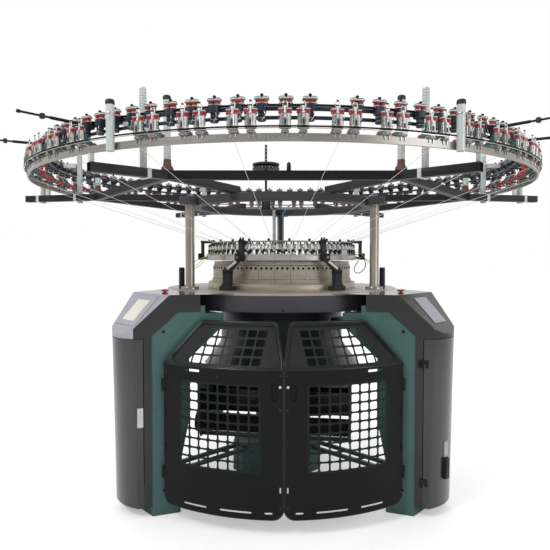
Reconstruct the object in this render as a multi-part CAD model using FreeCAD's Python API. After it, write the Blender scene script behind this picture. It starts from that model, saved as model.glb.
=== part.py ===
import FreeCAD, Part
import math
import os

# Industrial circular single-jersey knitting machine, in millimetres.
# The needle cylinder's axis is the Z axis, the floor is z = 0 and the front is -Y.
# Azimuth 0 is the front and grows towards +X. A leg is drawn at azimuth 0 and turned to its place:
# u is the distance outward from the axis, v the distance to the side, towards +X.

# ---- gaps; pieces of one body touch ----
SIDE_GAP = 0.3        # beside and below turning pieces
RUNNING_FIT = 0.05    # radial, shaft in its bore
SWING_GAP = 3.0       # around doors and gates

# ---- faces round each kind of round piece ----
PIN_SIDES = 6
SHAFT_SIDES = 8
ROUND_SIDES = 12
BED_SIDES = 36
TOP_SIDES = 24
CROWN_FACES = 4       # across the outer end of a hood

# ---- bed and columns ----
BED_RADIUS = 723.0
BED_BOTTOM = 1020.0
BED_DEPTH = 88.0
BED_WALL = 20.0
BED_FLOOR = 14.0
BED_BORE = 345.0
BED_SEAT_HEIGHT = 14.0
BED_SEAT_WIDTH = 30.0
BED_PLATE = 12.0
COLUMN_CIRCLE = 627.0
COLUMN_RADIUS = 26.5
COLUMN_LENGTH = 498.0
COLUMN_FOOT_RADIUS = 52.0
COLUMN_FOOT = 18.0
COLUMN_AZIMUTHS = (-60.0, 60.0, 180.0)
TOP_PLATE_BORE = 515.0
TOP_PLATE_RADIUS = 600.0
TOP_PLATE_DEPTH = 44.0
TOP_LUG_RADIUS = 60.0

# ---- knitting head ----
NEEDLE_RADIUS = 381.0
CYLINDER_WALL = 40.0
CYLINDER_HEIGHT = 206.0
GEAR_MODULE = 30.0
GEAR_TEETH = 28
GEAR_WIDTH = 30.0
GEAR_BORE = 300.0
PINION_TEETH = 7
BACKLASH = 2.0
GEAR_ADDENDUM = 0.6          # in modules
GEAR_DEDENDUM = 1.2
FEEDS = 30
CAM_CLEARANCE = 10.0
CAM_BASE_RADIUS = 470.0
CAM_BASE_DEPTH = 38.0
CAM_BOX_RADIUS = 437.0
CAM_BOX_HEIGHT = 124.0
CAM_BOX_GAP = 1.0
SINKER_RADIUS = 480.0
SINKER_BORE = 366.0
SINKER_LIFT = 8.0
SINKER_DEPTH = 30.0
SINKER_BRACKET_AZIMUTHS = (-36.0, 36.0, 144.0, -144.0)
SINKER_BRACKET_WIDTH = 44.0
SINKER_BRACKET_THICKNESS = 14.0
SINKER_BRACKET_BULGE = 46.0
GUIDE_RADIUS = 453.0
GUIDE_RING_WIDTH = 8.0
GUIDE_HEIGHT = 75.0
GUIDE_THICKNESS = 11.0

# ---- legs ----
LEG_AZIMUTHS = {"left": -46.7, "right": 46.7, "rear": 180.0}
LEG_PLATE = 14.0
LEG_OUTER_U = 1038.0
LEG_ROOT_WIDTH = 605.4      # half width where the side faces would meet the axis
LEG_TAPER = 0.447           # growth of the half width towards the axis
LEG_STEP = 30.0             # of the leg's edge behind the hood, past the foot
LEG_DEPTH = 172.0           # from the inner web to the outer edge
LEG_TOE = 44.0              # of the foot's inner edge behind the inner web
LEG_ARM_U = 700.0           # inner end of the arm below the bed
LEG_ARM_DEPTH = 35.0
LEG_KNEE_Z = 790.0
LEG_TAPER_TOP_Z = 480.0
LEG_TAPER_LOW_Z = 280.0
LEG_SHOULDER_Z = 1060.0
LEG_SHOULDER_U = 790.0
LEG_NOTCH_Z = 45.0
LEG_SHELF_Z = 628.0

# ---- hoods and their doors ----
HOOD_SHEET = 4.0
HOOD_BOTTOM = 50.0
HOOD_TOP = 1118.0
HOOD_REACH = 56.0           # of the outer end's corners at the top, past the leg
HOOD_LEAN = 20.0            # outward lean of the door from its bottom to its top
HOOD_CROWN = 30.0           # bulge of the outer face
HOOD_BAND = 33.0            # width of the upright band on the side face
HOOD_SEAM = 8.0             # edge of the door on the side face, past the leg
HOOD_DOOR_TOP = 905.0
HOOD_KNEE_Z = 912.0
HOOD_BAND_Z = 1030.0
HOOD_BAND_END_U = 815.0
HOOD_BAND_KNEE_U = 920.0
HOOD_SLOPE_FOOT = 955.0     # level where the 45 degree console face meets the outer end
HOOD_COVER_U = 700.0
HINGE_RADIUS = 8.0
HINGE_PIN_RADIUS = 4.0
HINGE_HEIGHT = 40.0
HINGE_LEAF = 3.0
HINGE_LEAF_WIDTH = 24.0
HOOD_HINGE_LEVELS = (160.0, 758.0)
LATCH_Z = 460.0
LATCH_HEIGHT = 98.0
LATCH_WIDTH = 26.0
LATCH_DEPTH = 6.0
CONSOLE_HALF_WIDTH = 104.0
CONSOLE_LENGTH = 196.0
CONSOLE_PLATE = 4.0
SCREEN_HALF_WIDTH = 60.0
SCREEN_LENGTH = 138.0
BUTTON_SETBACK = 72.0       # behind the top edge of the console slope
BUTTON_V = 28.0
BUTTON_CAP_RADIUS = 20.0
BUTTON_CAP_DEPTH = 12.0
BUTTON_STEM_RADIUS = 8.0
BUTTON_STEM_LENGTH = 40.0
BUTTON_TRAVEL = 5.0

# ---- floor hub ----
HUB_WIDTH = 528.0
HUB_DEPTH = 528.0
HUB_HEIGHT = 172.0
HUB_OFFSET_X = -35.0
HUB_CORNER = 60.0
SPIGOT_RADIUS = 30.0
SPIGOT_HEIGHT = 60.0
TIE_BAR = 22.0
TIE_SPACING = 90.0
TIE_Z = 140.0

# ---- rotating take-down ----
TAKEDOWN_YAW = -9.0
SKIRT_SIDES = 16
SKIRT_SHEET = 4.0
SKIRT_NECK_RADIUS = 330.0
SKIRT_RADIUS = 388.0
SKIRT_MOUTH_RADIUS = 488.0
SKIRT_SHOULDER_Z = 1000.0
SKIRT_SHOULDER_DROP = 10.0
SKIRT_FLARE_Z = 780.0
SKIRT_MOUTH_Z = 640.0
CROWN_DEPTH = 8.0
CROWN_WIDTH = 56.0
SIDE_PLATE = 10.0
SIDE_PLATE_HALF = 452.0
SIDE_PLATE_FRONT = 355.0
SIDE_PLATE_REAR = 210.0
SIDE_PLATE_BOTTOM = 222.0
SIDE_PLATE_NOTCH = 90.0
SIDE_PLATE_SLANT = 70.0
BOSS_RADIUS = 60.0
JOURNAL_RADIUS = 12.0
WINDING_RADIUS = 50.0
WINDING_Y = -380.0
WINDING_Z = 333.0
WINDING_LOBE = 60.0
SPREADER_RADIUS = 30.0
SPREADER_Y = -300.0
SPREADER_Z = 575.0
DRAW_RADIUS = 28.0
DRAW_Z = 470.0
DRAW_Y = -40.0
DRAW_NIP = 0.5
PANEL_SHEET = 4.0
PANEL_BOTTOM = 394.0
PANEL_TOP = 523.0
CROSS_BAR = 24.0
FRONT_BAR_Y = -300.0

# ---- drive ----
SHAFT_RADIUS = 20.0
SHAFT_BELOW_BED = 105.0
DRIVE_PULLEY_RADIUS = 90.0
MOTOR_PULLEY_RADIUS = 45.0
PULLEY_WIDTH = 35.0
PULLEY_DROP = 65.0
BELT_THICKNESS = 6.0
BELT_EDGE = 4.0
BELT_FACES = 7                # round each pulley
MOTOR_CLEARANCE = 6.0         # between the motor and the leg's inner web
MOTOR_RADIUS = 64.0
MOTOR_HEIGHT = 240.0
MOTOR_BORE_DEPTH = 60.0
MOTOR_SHAFT_RADIUS = 14.0
DRIVE_AZIMUTH = LEG_AZIMUTHS["right"]

# ---- upper frame ----
FRAME_TUBE = 40.0
FRAME_RADIUS = 1151.0
FRAME_AZIMUTHS = (-27.6, 27.6, 84.0, 150.0, -150.0, -84.0)
SPOKE_START = 540.0
TUBE_WALL = 3.0
FRONT_ARM_END = (810.0, -1260.0)
SIDE_ARM_END = (1640.0, 0.0)
REAR_ARM_END = (917.0, 1360.0)
POST_WIDTH = 38.0
POST_CAP = 10.0
OUTER_POST_FLAT = 4           # flats of the outer ring from the front
OUTER_POST_SHIFT = 70.0       # from the middle of that flat towards the front
OUTER_RING_RADIUS = 1491.5
RING_SIDES = 48
OUTER_RING_THICKNESS = 8.0
OUTER_RING_HEIGHT = 30.0
OUTER_RING_LIFT = 36.0      # above the frame tubes
BRACKET_WIDTH = 20.0

# ---- feeders ----
UPPER_FEEDERS = 48           # twin units
UPPER_TURN = 1.875          # azimuth of the first of them
LOWER_PAIRS = 48
LOWER_TURN = 1.11            # azimuth of the first pair
LOWER_LEFT_OUT = 44          # the pair whose place an outer post takes
RAIL_RADIUS = 1397.0
RAIL_THICKNESS = 12.0
RAIL_SIDES = 48
RAIL_BOTTOM = 1876.0
RAIL_DEPTH = 26.0
UPPER_FEEDER_BOTTOM = 1826.0
UPPER_FEEDER_TOP = 1934.0
UPPER_FEEDER_DEPTH = 40.0
UPPER_FEEDER_WIDTH = 78.0
LOWER_FEEDER_HEIGHT = 124.0
LOWER_FEEDER_DEPTH = 105.0
LOWER_FEEDER_OVERHANG = 18.0
LOWER_FEEDER_WIDTH = 104.0    # of a pair

# ---- quality pulley, conduit, rods, yarns ----
PULLEY_STAND = (-109.0, 540.0)
PULLEY_HOUSING_RADIUS = 34.0
PULLEY_HOUSING_HEIGHT = 96.0
PULLEY_SHAFT_RADIUS = 9.0
PULLEY_SHAFT_TOP = 2143.0
PULLEY_SHAFT_SEAT = 10.0
PULLEY_CORE_RADIUS = 70.0
PULLEY_DISC_RADIUS = 100.0
PULLEY_DISC_Z = 1957.0
PULLEY_DISC_DEPTH = 18.0
PULLEY_GROOVE = 10.0
CONDUIT_RADIUS = 14.0
ROD_RADIUS = 5.0
ROD_SIDES = 6
ROD_LEVEL = 1897.0
ROD_LENGTH = 303.0
ROD_CORNERS = (-9, -6, 5, 7)    # of the feeder rail
YARN_COUNT = 24
YARN_RADIUS = 1.0
YARN_INSET = 2.5              # behind the outer ring's face

# ---- gates ----
GATE_RADIUS = 1026.0
GATE_DEPTH = 16.0
GATE_SHEET = 3.0
GATE_RIM = 6.0              # the upper panel lies this deep behind its rim
GATE_BORDER = 16.0
GATE_FACETS = (-340.0, -204.0, 0.0, 204.0, 340.0)
GATE_BOTTOM = 86.0
GATE_FOLD = 783.0
GATE_TOP = 985.0
GATE_LEAN = 158.0           # the upper panel leans back by this much
GATE_MID = 17.8             # azimuth of the middle of a gate
GATE_HALF_WIDTH = 308.0
GATE_TOP_INNER = 235.0
GATE_TOP_OUTER = 162.0
GATE_CORNER = 45.0
GATE_TOP_CORNER = 30.0
WINDOW_HALF_WIDTH = 204.0
WINDOW_BOTTOM = 304.0
WINDOW_TOP = 712.0
WINDOW_COLUMNS = 8
WINDOW_ROWS = 9
UPPER_WINDOW_ROWS = 4
UPPER_WINDOW_BOTTOM = 806.0
UPPER_WINDOW_TOP = 950.0
UPPER_WINDOW_CORNER = 110.0
GRILLE_BAR = 8.0
GATE_HINGE_AZIMUTH = 36.6
GATE_HINGE_RADIUS = 1012.0
GATE_HINGE_LEVELS = (200.0, 640.0)
GATE_PIN_RADIUS = 5.0
GATE_KNUCKLE_RADIUS = 9.0
GATE_HINGE_HEIGHT = 60.0
GATE_HINGE_ARM = 60.0         # of the fixed bracket, cut where the leg begins

# ---- levels and radii that follow from the sizes above ----
LEG_HOOD_U = LEG_OUTER_U + LEG_STEP
LEG_INNER_U = LEG_OUTER_U - LEG_DEPTH
LEG_FOOT_U = LEG_INNER_U + LEG_TOE
HOOD_END_U = LEG_HOOD_U + HOOD_REACH
HOOD_LOWER_END_U = HOOD_END_U - HOOD_LEAN
HOOD_SEAM_U = LEG_HOOD_U + HOOD_SEAM
HOOD_BAND_U = HOOD_SEAM_U - HOOD_BAND
HOOD_SLOPE_SUM = HOOD_END_U + HOOD_SLOPE_FOOT      # u + z anywhere on the console face
MOTOR_U = LEG_INNER_U + LEG_PLATE + MOTOR_CLEARANCE + MOTOR_RADIUS
BUTTON_U = HOOD_SLOPE_SUM - HOOD_TOP - BUTTON_SETBACK
BED_RIM = BED_BOTTOM + BED_DEPTH
BED_TOP = BED_RIM + BED_PLATE
TOP_PLATE_BOTTOM = BED_TOP + COLUMN_LENGTH
TOP_PLATE_TOP = TOP_PLATE_BOTTOM + TOP_PLATE_DEPTH
FRAME_TOP = TOP_PLATE_TOP + FRAME_TUBE
OUTER_RING_BOTTOM = FRAME_TOP + OUTER_RING_LIFT
OUTER_RING_TOP = OUTER_RING_BOTTOM + OUTER_RING_HEIGHT
GEAR_PITCH_RADIUS = GEAR_MODULE * GEAR_TEETH / 2
PINION_PITCH_RADIUS = GEAR_MODULE * PINION_TEETH / 2
PINION_CENTRE = GEAR_PITCH_RADIUS + PINION_PITCH_RADIUS
BED_SEAT_TOP = BED_BOTTOM + BED_FLOOR + BED_SEAT_HEIGHT
GEAR_BOTTOM = BED_SEAT_TOP + SIDE_GAP
GEAR_TOP = GEAR_BOTTOM + GEAR_WIDTH
CYLINDER_TOP = GEAR_TOP + CYLINDER_HEIGHT
CAM_BORE = NEEDLE_RADIUS + CAM_CLEARANCE
CAM_BASE_TOP = BED_TOP + CAM_BASE_DEPTH
CAM_BOX_TOP = CAM_BASE_TOP + CAM_BOX_HEIGHT
SINKER_BOTTOM = CAM_BOX_TOP + SINKER_LIFT
SINKER_TOP = SINKER_BOTTOM + SINKER_DEPTH
GUIDE_RING_BOTTOM = SINKER_TOP + GUIDE_HEIGHT
HINGE_REACH = HOOD_SHEET + (HINGE_RADIUS + SIDE_GAP) * math.sqrt(1 + LEG_TAPER ** 2)
PULLEY_Z = BED_BOTTOM - PULLEY_DROP - PULLEY_WIDTH
ALL_Z = 2500.0              # taller and wider than any cut has to reach
WIDE = 2000.0


# ---------------------------------------------------------------- helpers
def vec(x, y, z=0.0):
    return FreeCAD.Vector(x, y, z)


def polar(radius, azimuth, z=0.0):
    """Point at a radius and an azimuth in degrees, where 0 is the front."""
    a = math.radians(azimuth)
    return vec(radius * math.sin(a), -radius * math.cos(a), z)


def turned(shape, azimuth):
    """Copy of a shape drawn at the front, turned to an azimuth."""
    copy = shape.copy()
    copy.rotate(vec(0, 0), vec(0, 0, 1), azimuth)
    return copy


def moved(shape, x, y, z):
    copy = shape.copy()
    copy.translate(vec(x, y, z))
    return copy


def fused(shapes):
    return shapes[0].multiFuse(shapes[1:]).removeSplitter()


def box(x0, x1, y0, y1, z0, z1):
    return Part.makeBox(x1 - x0, y1 - y0, z1 - z0, vec(x0, y0, z0))


def face_of(points):
    return Part.Face(Part.makePolygon(points + points[:1]))


def prism(plan, z0, z1):
    """Upright prism over plan points."""
    return face_of([vec(x, y, z0) for x, y in plan]).extrude(vec(0, 0, z1 - z0))


def polygon_plan(sides, radius, corners=False, x=0.0, y=0.0):
    """Regular polygon whose flats, or corners, lie at the radius, one flat square to the front."""
    reach = radius if corners else radius / math.cos(math.pi / sides)
    points = [polar(reach, (k + 0.5) * 360.0 / sides) for k in range(sides)]
    return [(p.x + x, p.y + y) for p in points]


def disc(radius, z0, z1, x=0.0, y=0.0, sides=ROUND_SIDES):
    """Round bar or disc, whose corners lie on the circle."""
    return prism(polygon_plan(sides, radius, True, x, y), z0, z1)


def hole(radius, z0, z1, x=0.0, y=0.0, sides=ROUND_SIDES):
    """Cutter for a bore, whose flats lie on the circle."""
    return prism(polygon_plan(sides, radius, False, x, y), z0, z1)


def polygon_ring(sides, inner, outer, z0, z1):
    return hole(outer, z0, z1, sides=sides).cut(hole(inner, z0 - 1, z1 + 1, sides=sides))


def across(radius, y, z, x0, x1, sides, corners=True):
    """Round bar along X, or the cutter of its bore where the flats lie on the circle."""
    plan = polygon_plan(sides, radius, corners)
    return face_of([vec(x0, y + a, z + b) for a, b in plan]).extrude(vec(x1 - x0, 0, 0))


def faceted(levels, sides, x=0.0, y=0.0):
    """Solid of flat faces through level polygons, given as (z, radius of the flats)."""
    loops = []
    for z, radius in levels:
        loops.append([vec(a, b, z) for a, b in polygon_plan(sides, radius, False, x, y)])
    faces = [face_of(loops[0]), face_of(loops[-1])]
    for low, high in zip(loops, loops[1:]):
        for k in range(sides):
            faces.append(face_of([low[k - 1], low[k], high[k], high[k - 1]]))
    solid = Part.makeSolid(Part.makeShell(faces))
    if solid.Volume < 0:
        solid.reverse()
    return solid


def profile(outline, half_width=WIDE):
    """Outline of (u, z) points, extruded to both sides of the leg's middle plane."""
    points = [vec(-half_width, -u, z) for u, z in outline]
    return face_of(points).extrude(vec(2 * half_width, 0, 0))


def strip(start, end, width, z0, z1):
    """Straight bar of rectangular section between two plan points."""
    along = end - start
    along.normalize()
    side = vec(-along.y, along.x) * (width / 2)
    corners = [start + side, end + side, end - side, start - side]
    return prism([(p.x, p.y) for p in corners], z0, z1)


def tube(start, end, width, z0, z1, wall):
    """Straight hollow bar, open at both ends."""
    outer = strip(start, end, width, z0, z1)
    return outer.cut(strip(start, end, width - 2 * wall, z0 + wall, z1 - wall))


def rod(start, end, radius, sides):
    """Thin bar or yarn between two points."""
    along = end - start
    first = along.cross(vec(0, 0, 1))
    first.normalize()
    second = along.cross(first)
    second.normalize()
    points = []
    for k in range(sides):
        a = 2 * math.pi * k / sides
        points.append(start + first * (radius * math.cos(a)) + second * (radius * math.sin(a)))
    return face_of(points).extrude(along)


def roller(radius, y, z, half_length, journal_length):
    """Roller along X with a journal at each end."""
    reach = half_length + journal_length
    body = across(radius, y, z, -half_length, half_length, ROUND_SIDES)
    return fused([body, across(JOURNAL_RADIUS, y, z, -reach, reach, SHAFT_SIDES)])


def save(name, shapes):
    """Write one node as a STEP file."""
    group = shapes if isinstance(shapes, list) else [shapes]
    shape = group[0] if len(group) == 1 else Part.makeCompound(group)
    os.makedirs("parts", exist_ok=True)
    shape.exportStep("parts/" + name + ".step")


# ---------------------------------------------------------------- legs and hub
def half_width(u):
    """Half width of the leg's wedge plan at a distance from the axis."""
    return LEG_ROOT_WIDTH - LEG_TAPER * u


def crowned_end(half, u, crown):
    """Plan points of an outer end that bulges by the crown, from one side to the other."""
    if not crown:
        return [(-half, -u), (half, -u)]
    radius = (half * half + crown * crown) / (2 * crown)
    reach = math.asin(half / radius)
    points = []
    for k in range(CROWN_FACES + 1):
        a = reach * (2.0 * k / CROWN_FACES - 1)
        points.append((radius * math.sin(a), -(u + crown - radius + radius * math.cos(a))))
    return points


def wedge_plan(u_in, u_out, offset, crown):
    inner = half_width(u_in) + offset
    return crowned_end(half_width(u_out) + offset, u_out, crown) + [(inner, -u_in), (-inner, -u_in)]


def wedge(u_in, u_out, offset, z0, z1, crown=0.0):
    """Prism with the leg's tapering plan, wider than the leg by the offset on each side."""
    return prism(wedge_plan(u_in, u_out, offset, crown), z0, z1)


def leg():
    """Welded leg: two side plates, outer and inner webs, a foot plate, a shelf and an arm below the bed."""
    t = LEG_PLATE
    top_u = LEG_HOOD_U - (LEG_SHOULDER_Z - HOOD_KNEE_Z - HOOD_SHEET)
    outline = [
        (LEG_OUTER_U, 0), (LEG_OUTER_U, LEG_NOTCH_Z), (LEG_HOOD_U, LEG_NOTCH_Z + 30),
        (LEG_HOOD_U, HOOD_KNEE_Z + HOOD_SHEET), (top_u, LEG_SHOULDER_Z),
        (LEG_SHOULDER_U, LEG_SHOULDER_Z), (LEG_SHOULDER_U, BED_BOTTOM), (LEG_ARM_U, BED_BOTTOM),
        (LEG_ARM_U, BED_BOTTOM - LEG_ARM_DEPTH),
        (LEG_INNER_U - (BED_BOTTOM - LEG_ARM_DEPTH - LEG_KNEE_Z), BED_BOTTOM - LEG_ARM_DEPTH),
        (LEG_INNER_U, LEG_KNEE_Z), (LEG_INNER_U, LEG_TAPER_TOP_Z),
        (LEG_FOOT_U - 5, LEG_TAPER_LOW_Z), (LEG_FOOT_U, 0),
    ]
    slope = top_u + LEG_SHOULDER_Z - t * math.sqrt(2)
    inside = [
        (LEG_OUTER_U - t, t), (LEG_OUTER_U - t, slope - LEG_OUTER_U + t),
        (slope - BED_BOTTOM + t, BED_BOTTOM - t),
        (LEG_ARM_U - t, BED_BOTTOM - t), (LEG_ARM_U - t, LEG_KNEE_Z),
        (LEG_INNER_U + t, LEG_KNEE_Z - t), (LEG_INNER_U + t, LEG_TAPER_TOP_Z - 4),
        (LEG_FOOT_U + t - 5, LEG_TAPER_LOW_Z - 4), (LEG_FOOT_U + t, t),
    ]
    above = [
        (WIDE, BED_BOTTOM), (LEG_ARM_U - t, BED_BOTTOM), (LEG_ARM_U - t, ALL_Z), (WIDE, ALL_Z),
    ]
    behind = [
        (LEG_OUTER_U, -1), (LEG_OUTER_U, BED_BOTTOM + 1), (WIDE, BED_BOTTOM + 1), (WIDE, -1),
    ]
    plan = wedge(LEG_ARM_U - 1, LEG_HOOD_U + 1, 0, -1, ALL_Z)
    core = wedge(LEG_ARM_U - 2 * t, LEG_HOOD_U + t, -t, -1, ALL_Z)
    body = profile(outline).common(plan)
    for hollow in (inside, above, behind):
        body = body.cut(profile(hollow).common(core))
    shelf = [
        (LEG_INNER_U, LEG_SHELF_Z), (LEG_OUTER_U, LEG_SHELF_Z),
        (LEG_OUTER_U, LEG_SHELF_Z + t), (LEG_INNER_U, LEG_SHELF_Z + t),
    ]
    return fused([body, profile(shelf).common(plan)])


def hub():
    """Floor box with bevelled corners and the spigot that the take-down turns on."""
    x0 = HUB_OFFSET_X - HUB_WIDTH / 2
    x1 = HUB_OFFSET_X + HUB_WIDTH / 2
    y1 = HUB_DEPTH / 2
    c = HUB_CORNER
    plan = [
        (x0 + c, -y1), (x1 - c, -y1), (x1, -y1 + c), (x1, y1 - c),
        (x1 - c, y1), (x0 + c, y1), (x0, y1 - c), (x0, -y1 + c),
    ]
    spigot = disc(SPIGOT_RADIUS, HUB_HEIGHT - 1, HUB_HEIGHT + SPIGOT_HEIGHT, sides=SHAFT_SIDES)
    return fused([prism(plan, 0, HUB_HEIGHT), spigot])


def tie_bars(hub_shape):
    """Twin bars from the hub to the inner web of each leg."""
    bars = []
    web = profile([(LEG_FOOT_U, -1), (LEG_FOOT_U, 0), (LEG_FOOT_U - 5, LEG_TAPER_LOW_Z),
                   (WIDE, LEG_TAPER_LOW_Z), (WIDE, -1)])
    for azimuth in LEG_AZIMUTHS.values():
        for side in (-1, 1):
            x = side * TIE_SPACING / 2
            bar = box(x - TIE_BAR / 2, x + TIE_BAR / 2, -LEG_FOOT_U, 0, TIE_Z, TIE_Z + TIE_BAR)
            bars.append(turned(bar.cut(web), azimuth).cut(hub_shape))
    return bars


# ---------------------------------------------------------------- hoods and doors
def hood():
    """Sheet hood: console slope, flat top up to the bed, L-shaped side faces, open below."""
    s = HOOD_SHEET
    slope = HOOD_SLOPE_SUM
    outline = [
        (HOOD_BAND_END_U, HOOD_BAND_Z), (HOOD_BAND_KNEE_U, HOOD_BAND_Z), (HOOD_BAND_U, HOOD_KNEE_Z),
        (HOOD_BAND_U, HOOD_DOOR_TOP), (slope - HOOD_DOOR_TOP, HOOD_DOOR_TOP),
        (slope - HOOD_TOP, HOOD_TOP), (HOOD_BAND_END_U, HOOD_TOP),
    ]
    inner_slope = slope - s * math.sqrt(2)
    hollow = [
        (HOOD_COVER_U - s, 0), (inner_slope, 0),
        (inner_slope - HOOD_TOP + s, HOOD_TOP - s), (HOOD_COVER_U - s, HOOD_TOP - s),
    ]
    shell = profile(outline).common(
        wedge(HOOD_COVER_U, HOOD_END_U, HOOD_SHEET, 0, ALL_Z, HOOD_CROWN))
    inside = wedge(HOOD_COVER_U - s, HOOD_END_U - s, 0, 0, ALL_Z, HOOD_CROWN)
    shell = shell.cut(profile(hollow).common(inside))
    band = wedge(HOOD_BAND_U, HOOD_SEAM_U, HOOD_SHEET, HOOD_BOTTOM, HOOD_DOOR_TOP)
    band = band.cut(wedge(HOOD_BAND_U - 1, HOOD_SEAM_U + 1, 0, 0, ALL_Z))
    cover = wedge(HOOD_COVER_U, HOOD_BAND_END_U, HOOD_SHEET, HOOD_TOP - s, HOOD_TOP)
    return fused([shell, band, cover])


def hinge_place():
    """Axis of the hood door's hinge, in the leg's frame."""
    return -(half_width(HOOD_SEAM_U) + HINGE_REACH), -HOOD_SEAM_U


def side_leaf(u0, u1, z0, z1):
    """Flat leaf that stands on the hinge side of the hood."""
    outer = wedge(u0, u1, HOOD_SHEET + HINGE_LEAF, z0, z1)
    leaf = outer.cut(wedge(u0 - 1, u1 + 1, HOOD_SHEET, z0 - 1, z1 + 1))
    return leaf.common(box(-WIDE, 0, -WIDE, 0, z0, z1))


def hinge_parts(level):
    """Fixed leaf with its knuckle and pin, and the moving leaf with the knuckle that turns on the pin."""
    x, y = hinge_place()
    z1 = level + HINGE_HEIGHT
    middle = level + HINGE_HEIGHT / 2
    fixed = [
        side_leaf(HOOD_SEAM_U - HINGE_LEAF_WIDTH, HOOD_SEAM_U, level, middle - SIDE_GAP),
        disc(HINGE_RADIUS, level, middle - SIDE_GAP, x, y, PIN_SIDES),
        disc(HINGE_PIN_RADIUS, level, z1, x, y, PIN_SIDES),
    ]
    moving = [
        side_leaf(HOOD_SEAM_U, HOOD_SEAM_U + HINGE_LEAF_WIDTH, middle, z1),
        disc(HINGE_RADIUS, middle, z1, x, y, PIN_SIDES),
    ]
    bore = hole(HINGE_PIN_RADIUS + RUNNING_FIT, level, z1 + 1, x, y, PIN_SIDES)
    return fused(fixed), fused(moving).cut(bore)


def door_block(inset, offset, start):
    """Solid between the door's plan at its bottom and at its top, whose outer end leans out."""
    top = HOOD_DOOR_TOP - SWING_GAP
    plan = wedge_plan(LEG_INNER_U, HOOD_LOWER_END_U - inset, offset + HOOD_CROWN, HOOD_CROWN)
    low = face_of([vec(x, y, HOOD_BOTTOM) for x, y in plan])
    leaning = low.extrude(vec(0, HOOD_LOWER_END_U - HOOD_END_U, top - HOOD_BOTTOM))
    return leaning.common(wedge(start, HOOD_END_U + 2 * HOOD_CROWN, offset, HOOD_BOTTOM, top))


def hood_door():
    """Crowned door that closes the outer end of the hood, returned on both sides, with its hinge leaves."""
    start = HOOD_SEAM_U + SWING_GAP
    skin = door_block(0, HOOD_SHEET, start).cut(door_block(HOOD_SHEET, 0, start - 5))
    return fused([skin] + [hinge_parts(level)[1] for level in HOOD_HINGE_LEVELS])


def latch():
    """Latch plate and its pull on the free side of the door."""
    u0 = HOOD_SEAM_U + SWING_GAP + 2
    u1 = u0 + LATCH_WIDTH
    margin = LATCH_WIDTH / 4
    z1 = LATCH_Z + LATCH_HEIGHT
    plate = wedge(u0, u1, HOOD_SHEET + LATCH_DEPTH / 2, LATCH_Z, z1)
    pull = wedge(u0 + margin, u1 - margin, HOOD_SHEET + LATCH_DEPTH, LATCH_Z + margin, z1 - 3 * margin)
    shape = fused([plate, pull]).cut(wedge(u0 - 1, u1 + 1, HOOD_SHEET, 0, ALL_Z))
    return shape.common(box(0, WIDE, -WIDE, 0, 0, ALL_Z))


def on_slope(half, length, thickness, lift):
    """Plate on the middle of the console slope."""
    plate = box(-half, half, -length / 2, length / 2, lift, lift + thickness)
    plate.rotate(vec(0, 0), vec(1, 0, 0), 45)
    middle_z = (HOOD_TOP + HOOD_SLOPE_SUM - HOOD_END_U) / 2
    return moved(plate, 0, -(HOOD_SLOPE_SUM - middle_z), middle_z)


def console():
    """Bezel with its window, the screen in it, and the plain plate of the other hood."""
    frame = on_slope(CONSOLE_HALF_WIDTH, CONSOLE_LENGTH, CONSOLE_PLATE, 0)
    window = on_slope(SCREEN_HALF_WIDTH, SCREEN_LENGTH, 3 * CONSOLE_PLATE, -CONSOLE_PLATE)
    screen = on_slope(SCREEN_HALF_WIDTH, SCREEN_LENGTH, CONSOLE_PLATE - 1, 0)
    plate = on_slope(SCREEN_HALF_WIDTH, SCREEN_LENGTH + 30, CONSOLE_PLATE, 0)
    return frame.cut(window), screen, plate


def stop_button(v):
    """Mushroom button whose stem runs in the hood's top."""
    base = HOOD_TOP + 2 * BUTTON_TRAVEL
    r = BUTTON_CAP_RADIUS
    levels = [(base, r), (base + BUTTON_CAP_DEPTH / 2, r), (base + BUTTON_CAP_DEPTH, 0.7 * r)]
    cap = faceted(levels, ROUND_SIDES, v, -BUTTON_U)
    stem = disc(BUTTON_STEM_RADIUS, base - BUTTON_STEM_LENGTH, base + 1, v, -BUTTON_U, SHAFT_SIDES)
    return fused([cap, stem])


def make_legs():
    hub_shape = hub()
    save("base_hub", hub_shape)
    save("base_tie_bars", tie_bars(hub_shape))
    leg_shape = leg()
    hood_shape = hood()
    door_shape = hood_door()
    latch_shape = latch()
    pins = [hinge_parts(level)[0] for level in HOOD_HINGE_LEVELS]
    hinge_pins = []
    button_sides = {"left": BUTTON_V, "right": -BUTTON_V}
    bed = hole(BED_RADIUS, 0, ALL_Z, sides=BED_SIDES)
    for place, azimuth in LEG_AZIMUTHS.items():
        save("leg_" + place, turned(leg_shape, azimuth))
        cover = hood_shape
        if place in button_sides:
            v = button_sides[place]
            cover = cover.cut(hole(BUTTON_STEM_RADIUS + RUNNING_FIT, 0, ALL_Z, v, -BUTTON_U, SHAFT_SIDES))
            save("stop_button_" + place, turned(stop_button(v), azimuth))
        save("hood_" + place, turned(cover, azimuth).cut(bed))
        save("hood_door_" + place, turned(door_shape, azimuth))
        save("door_latch_" + place, turned(latch_shape, azimuth))
        hinge_pins += [turned(pin, azimuth) for pin in pins]
    save("hood_hinge_pins", hinge_pins)
    bezel, screen, plate = console()
    save("console_plates", [turned(bezel, LEG_AZIMUTHS["left"]), turned(plate, LEG_AZIMUTHS["right"])])
    save("control_screen", turned(screen, LEG_AZIMUTHS["left"]))


# ---------------------------------------------------------------- bed and knitting head
def gear_plan(teeth, tip, root, half_tip, half_root):
    """Outline of a spur gear with straight flanks, one tooth at the front."""
    points = []
    for k in range(teeth):
        a = k * 360.0 / teeth
        for radius, half in ((root, -half_root), (tip, -half_tip), (tip, half_tip), (root, half_root)):
            points.append(polar(radius, a + math.degrees(half / radius)))
    return [(p.x, p.y) for p in points]


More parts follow.
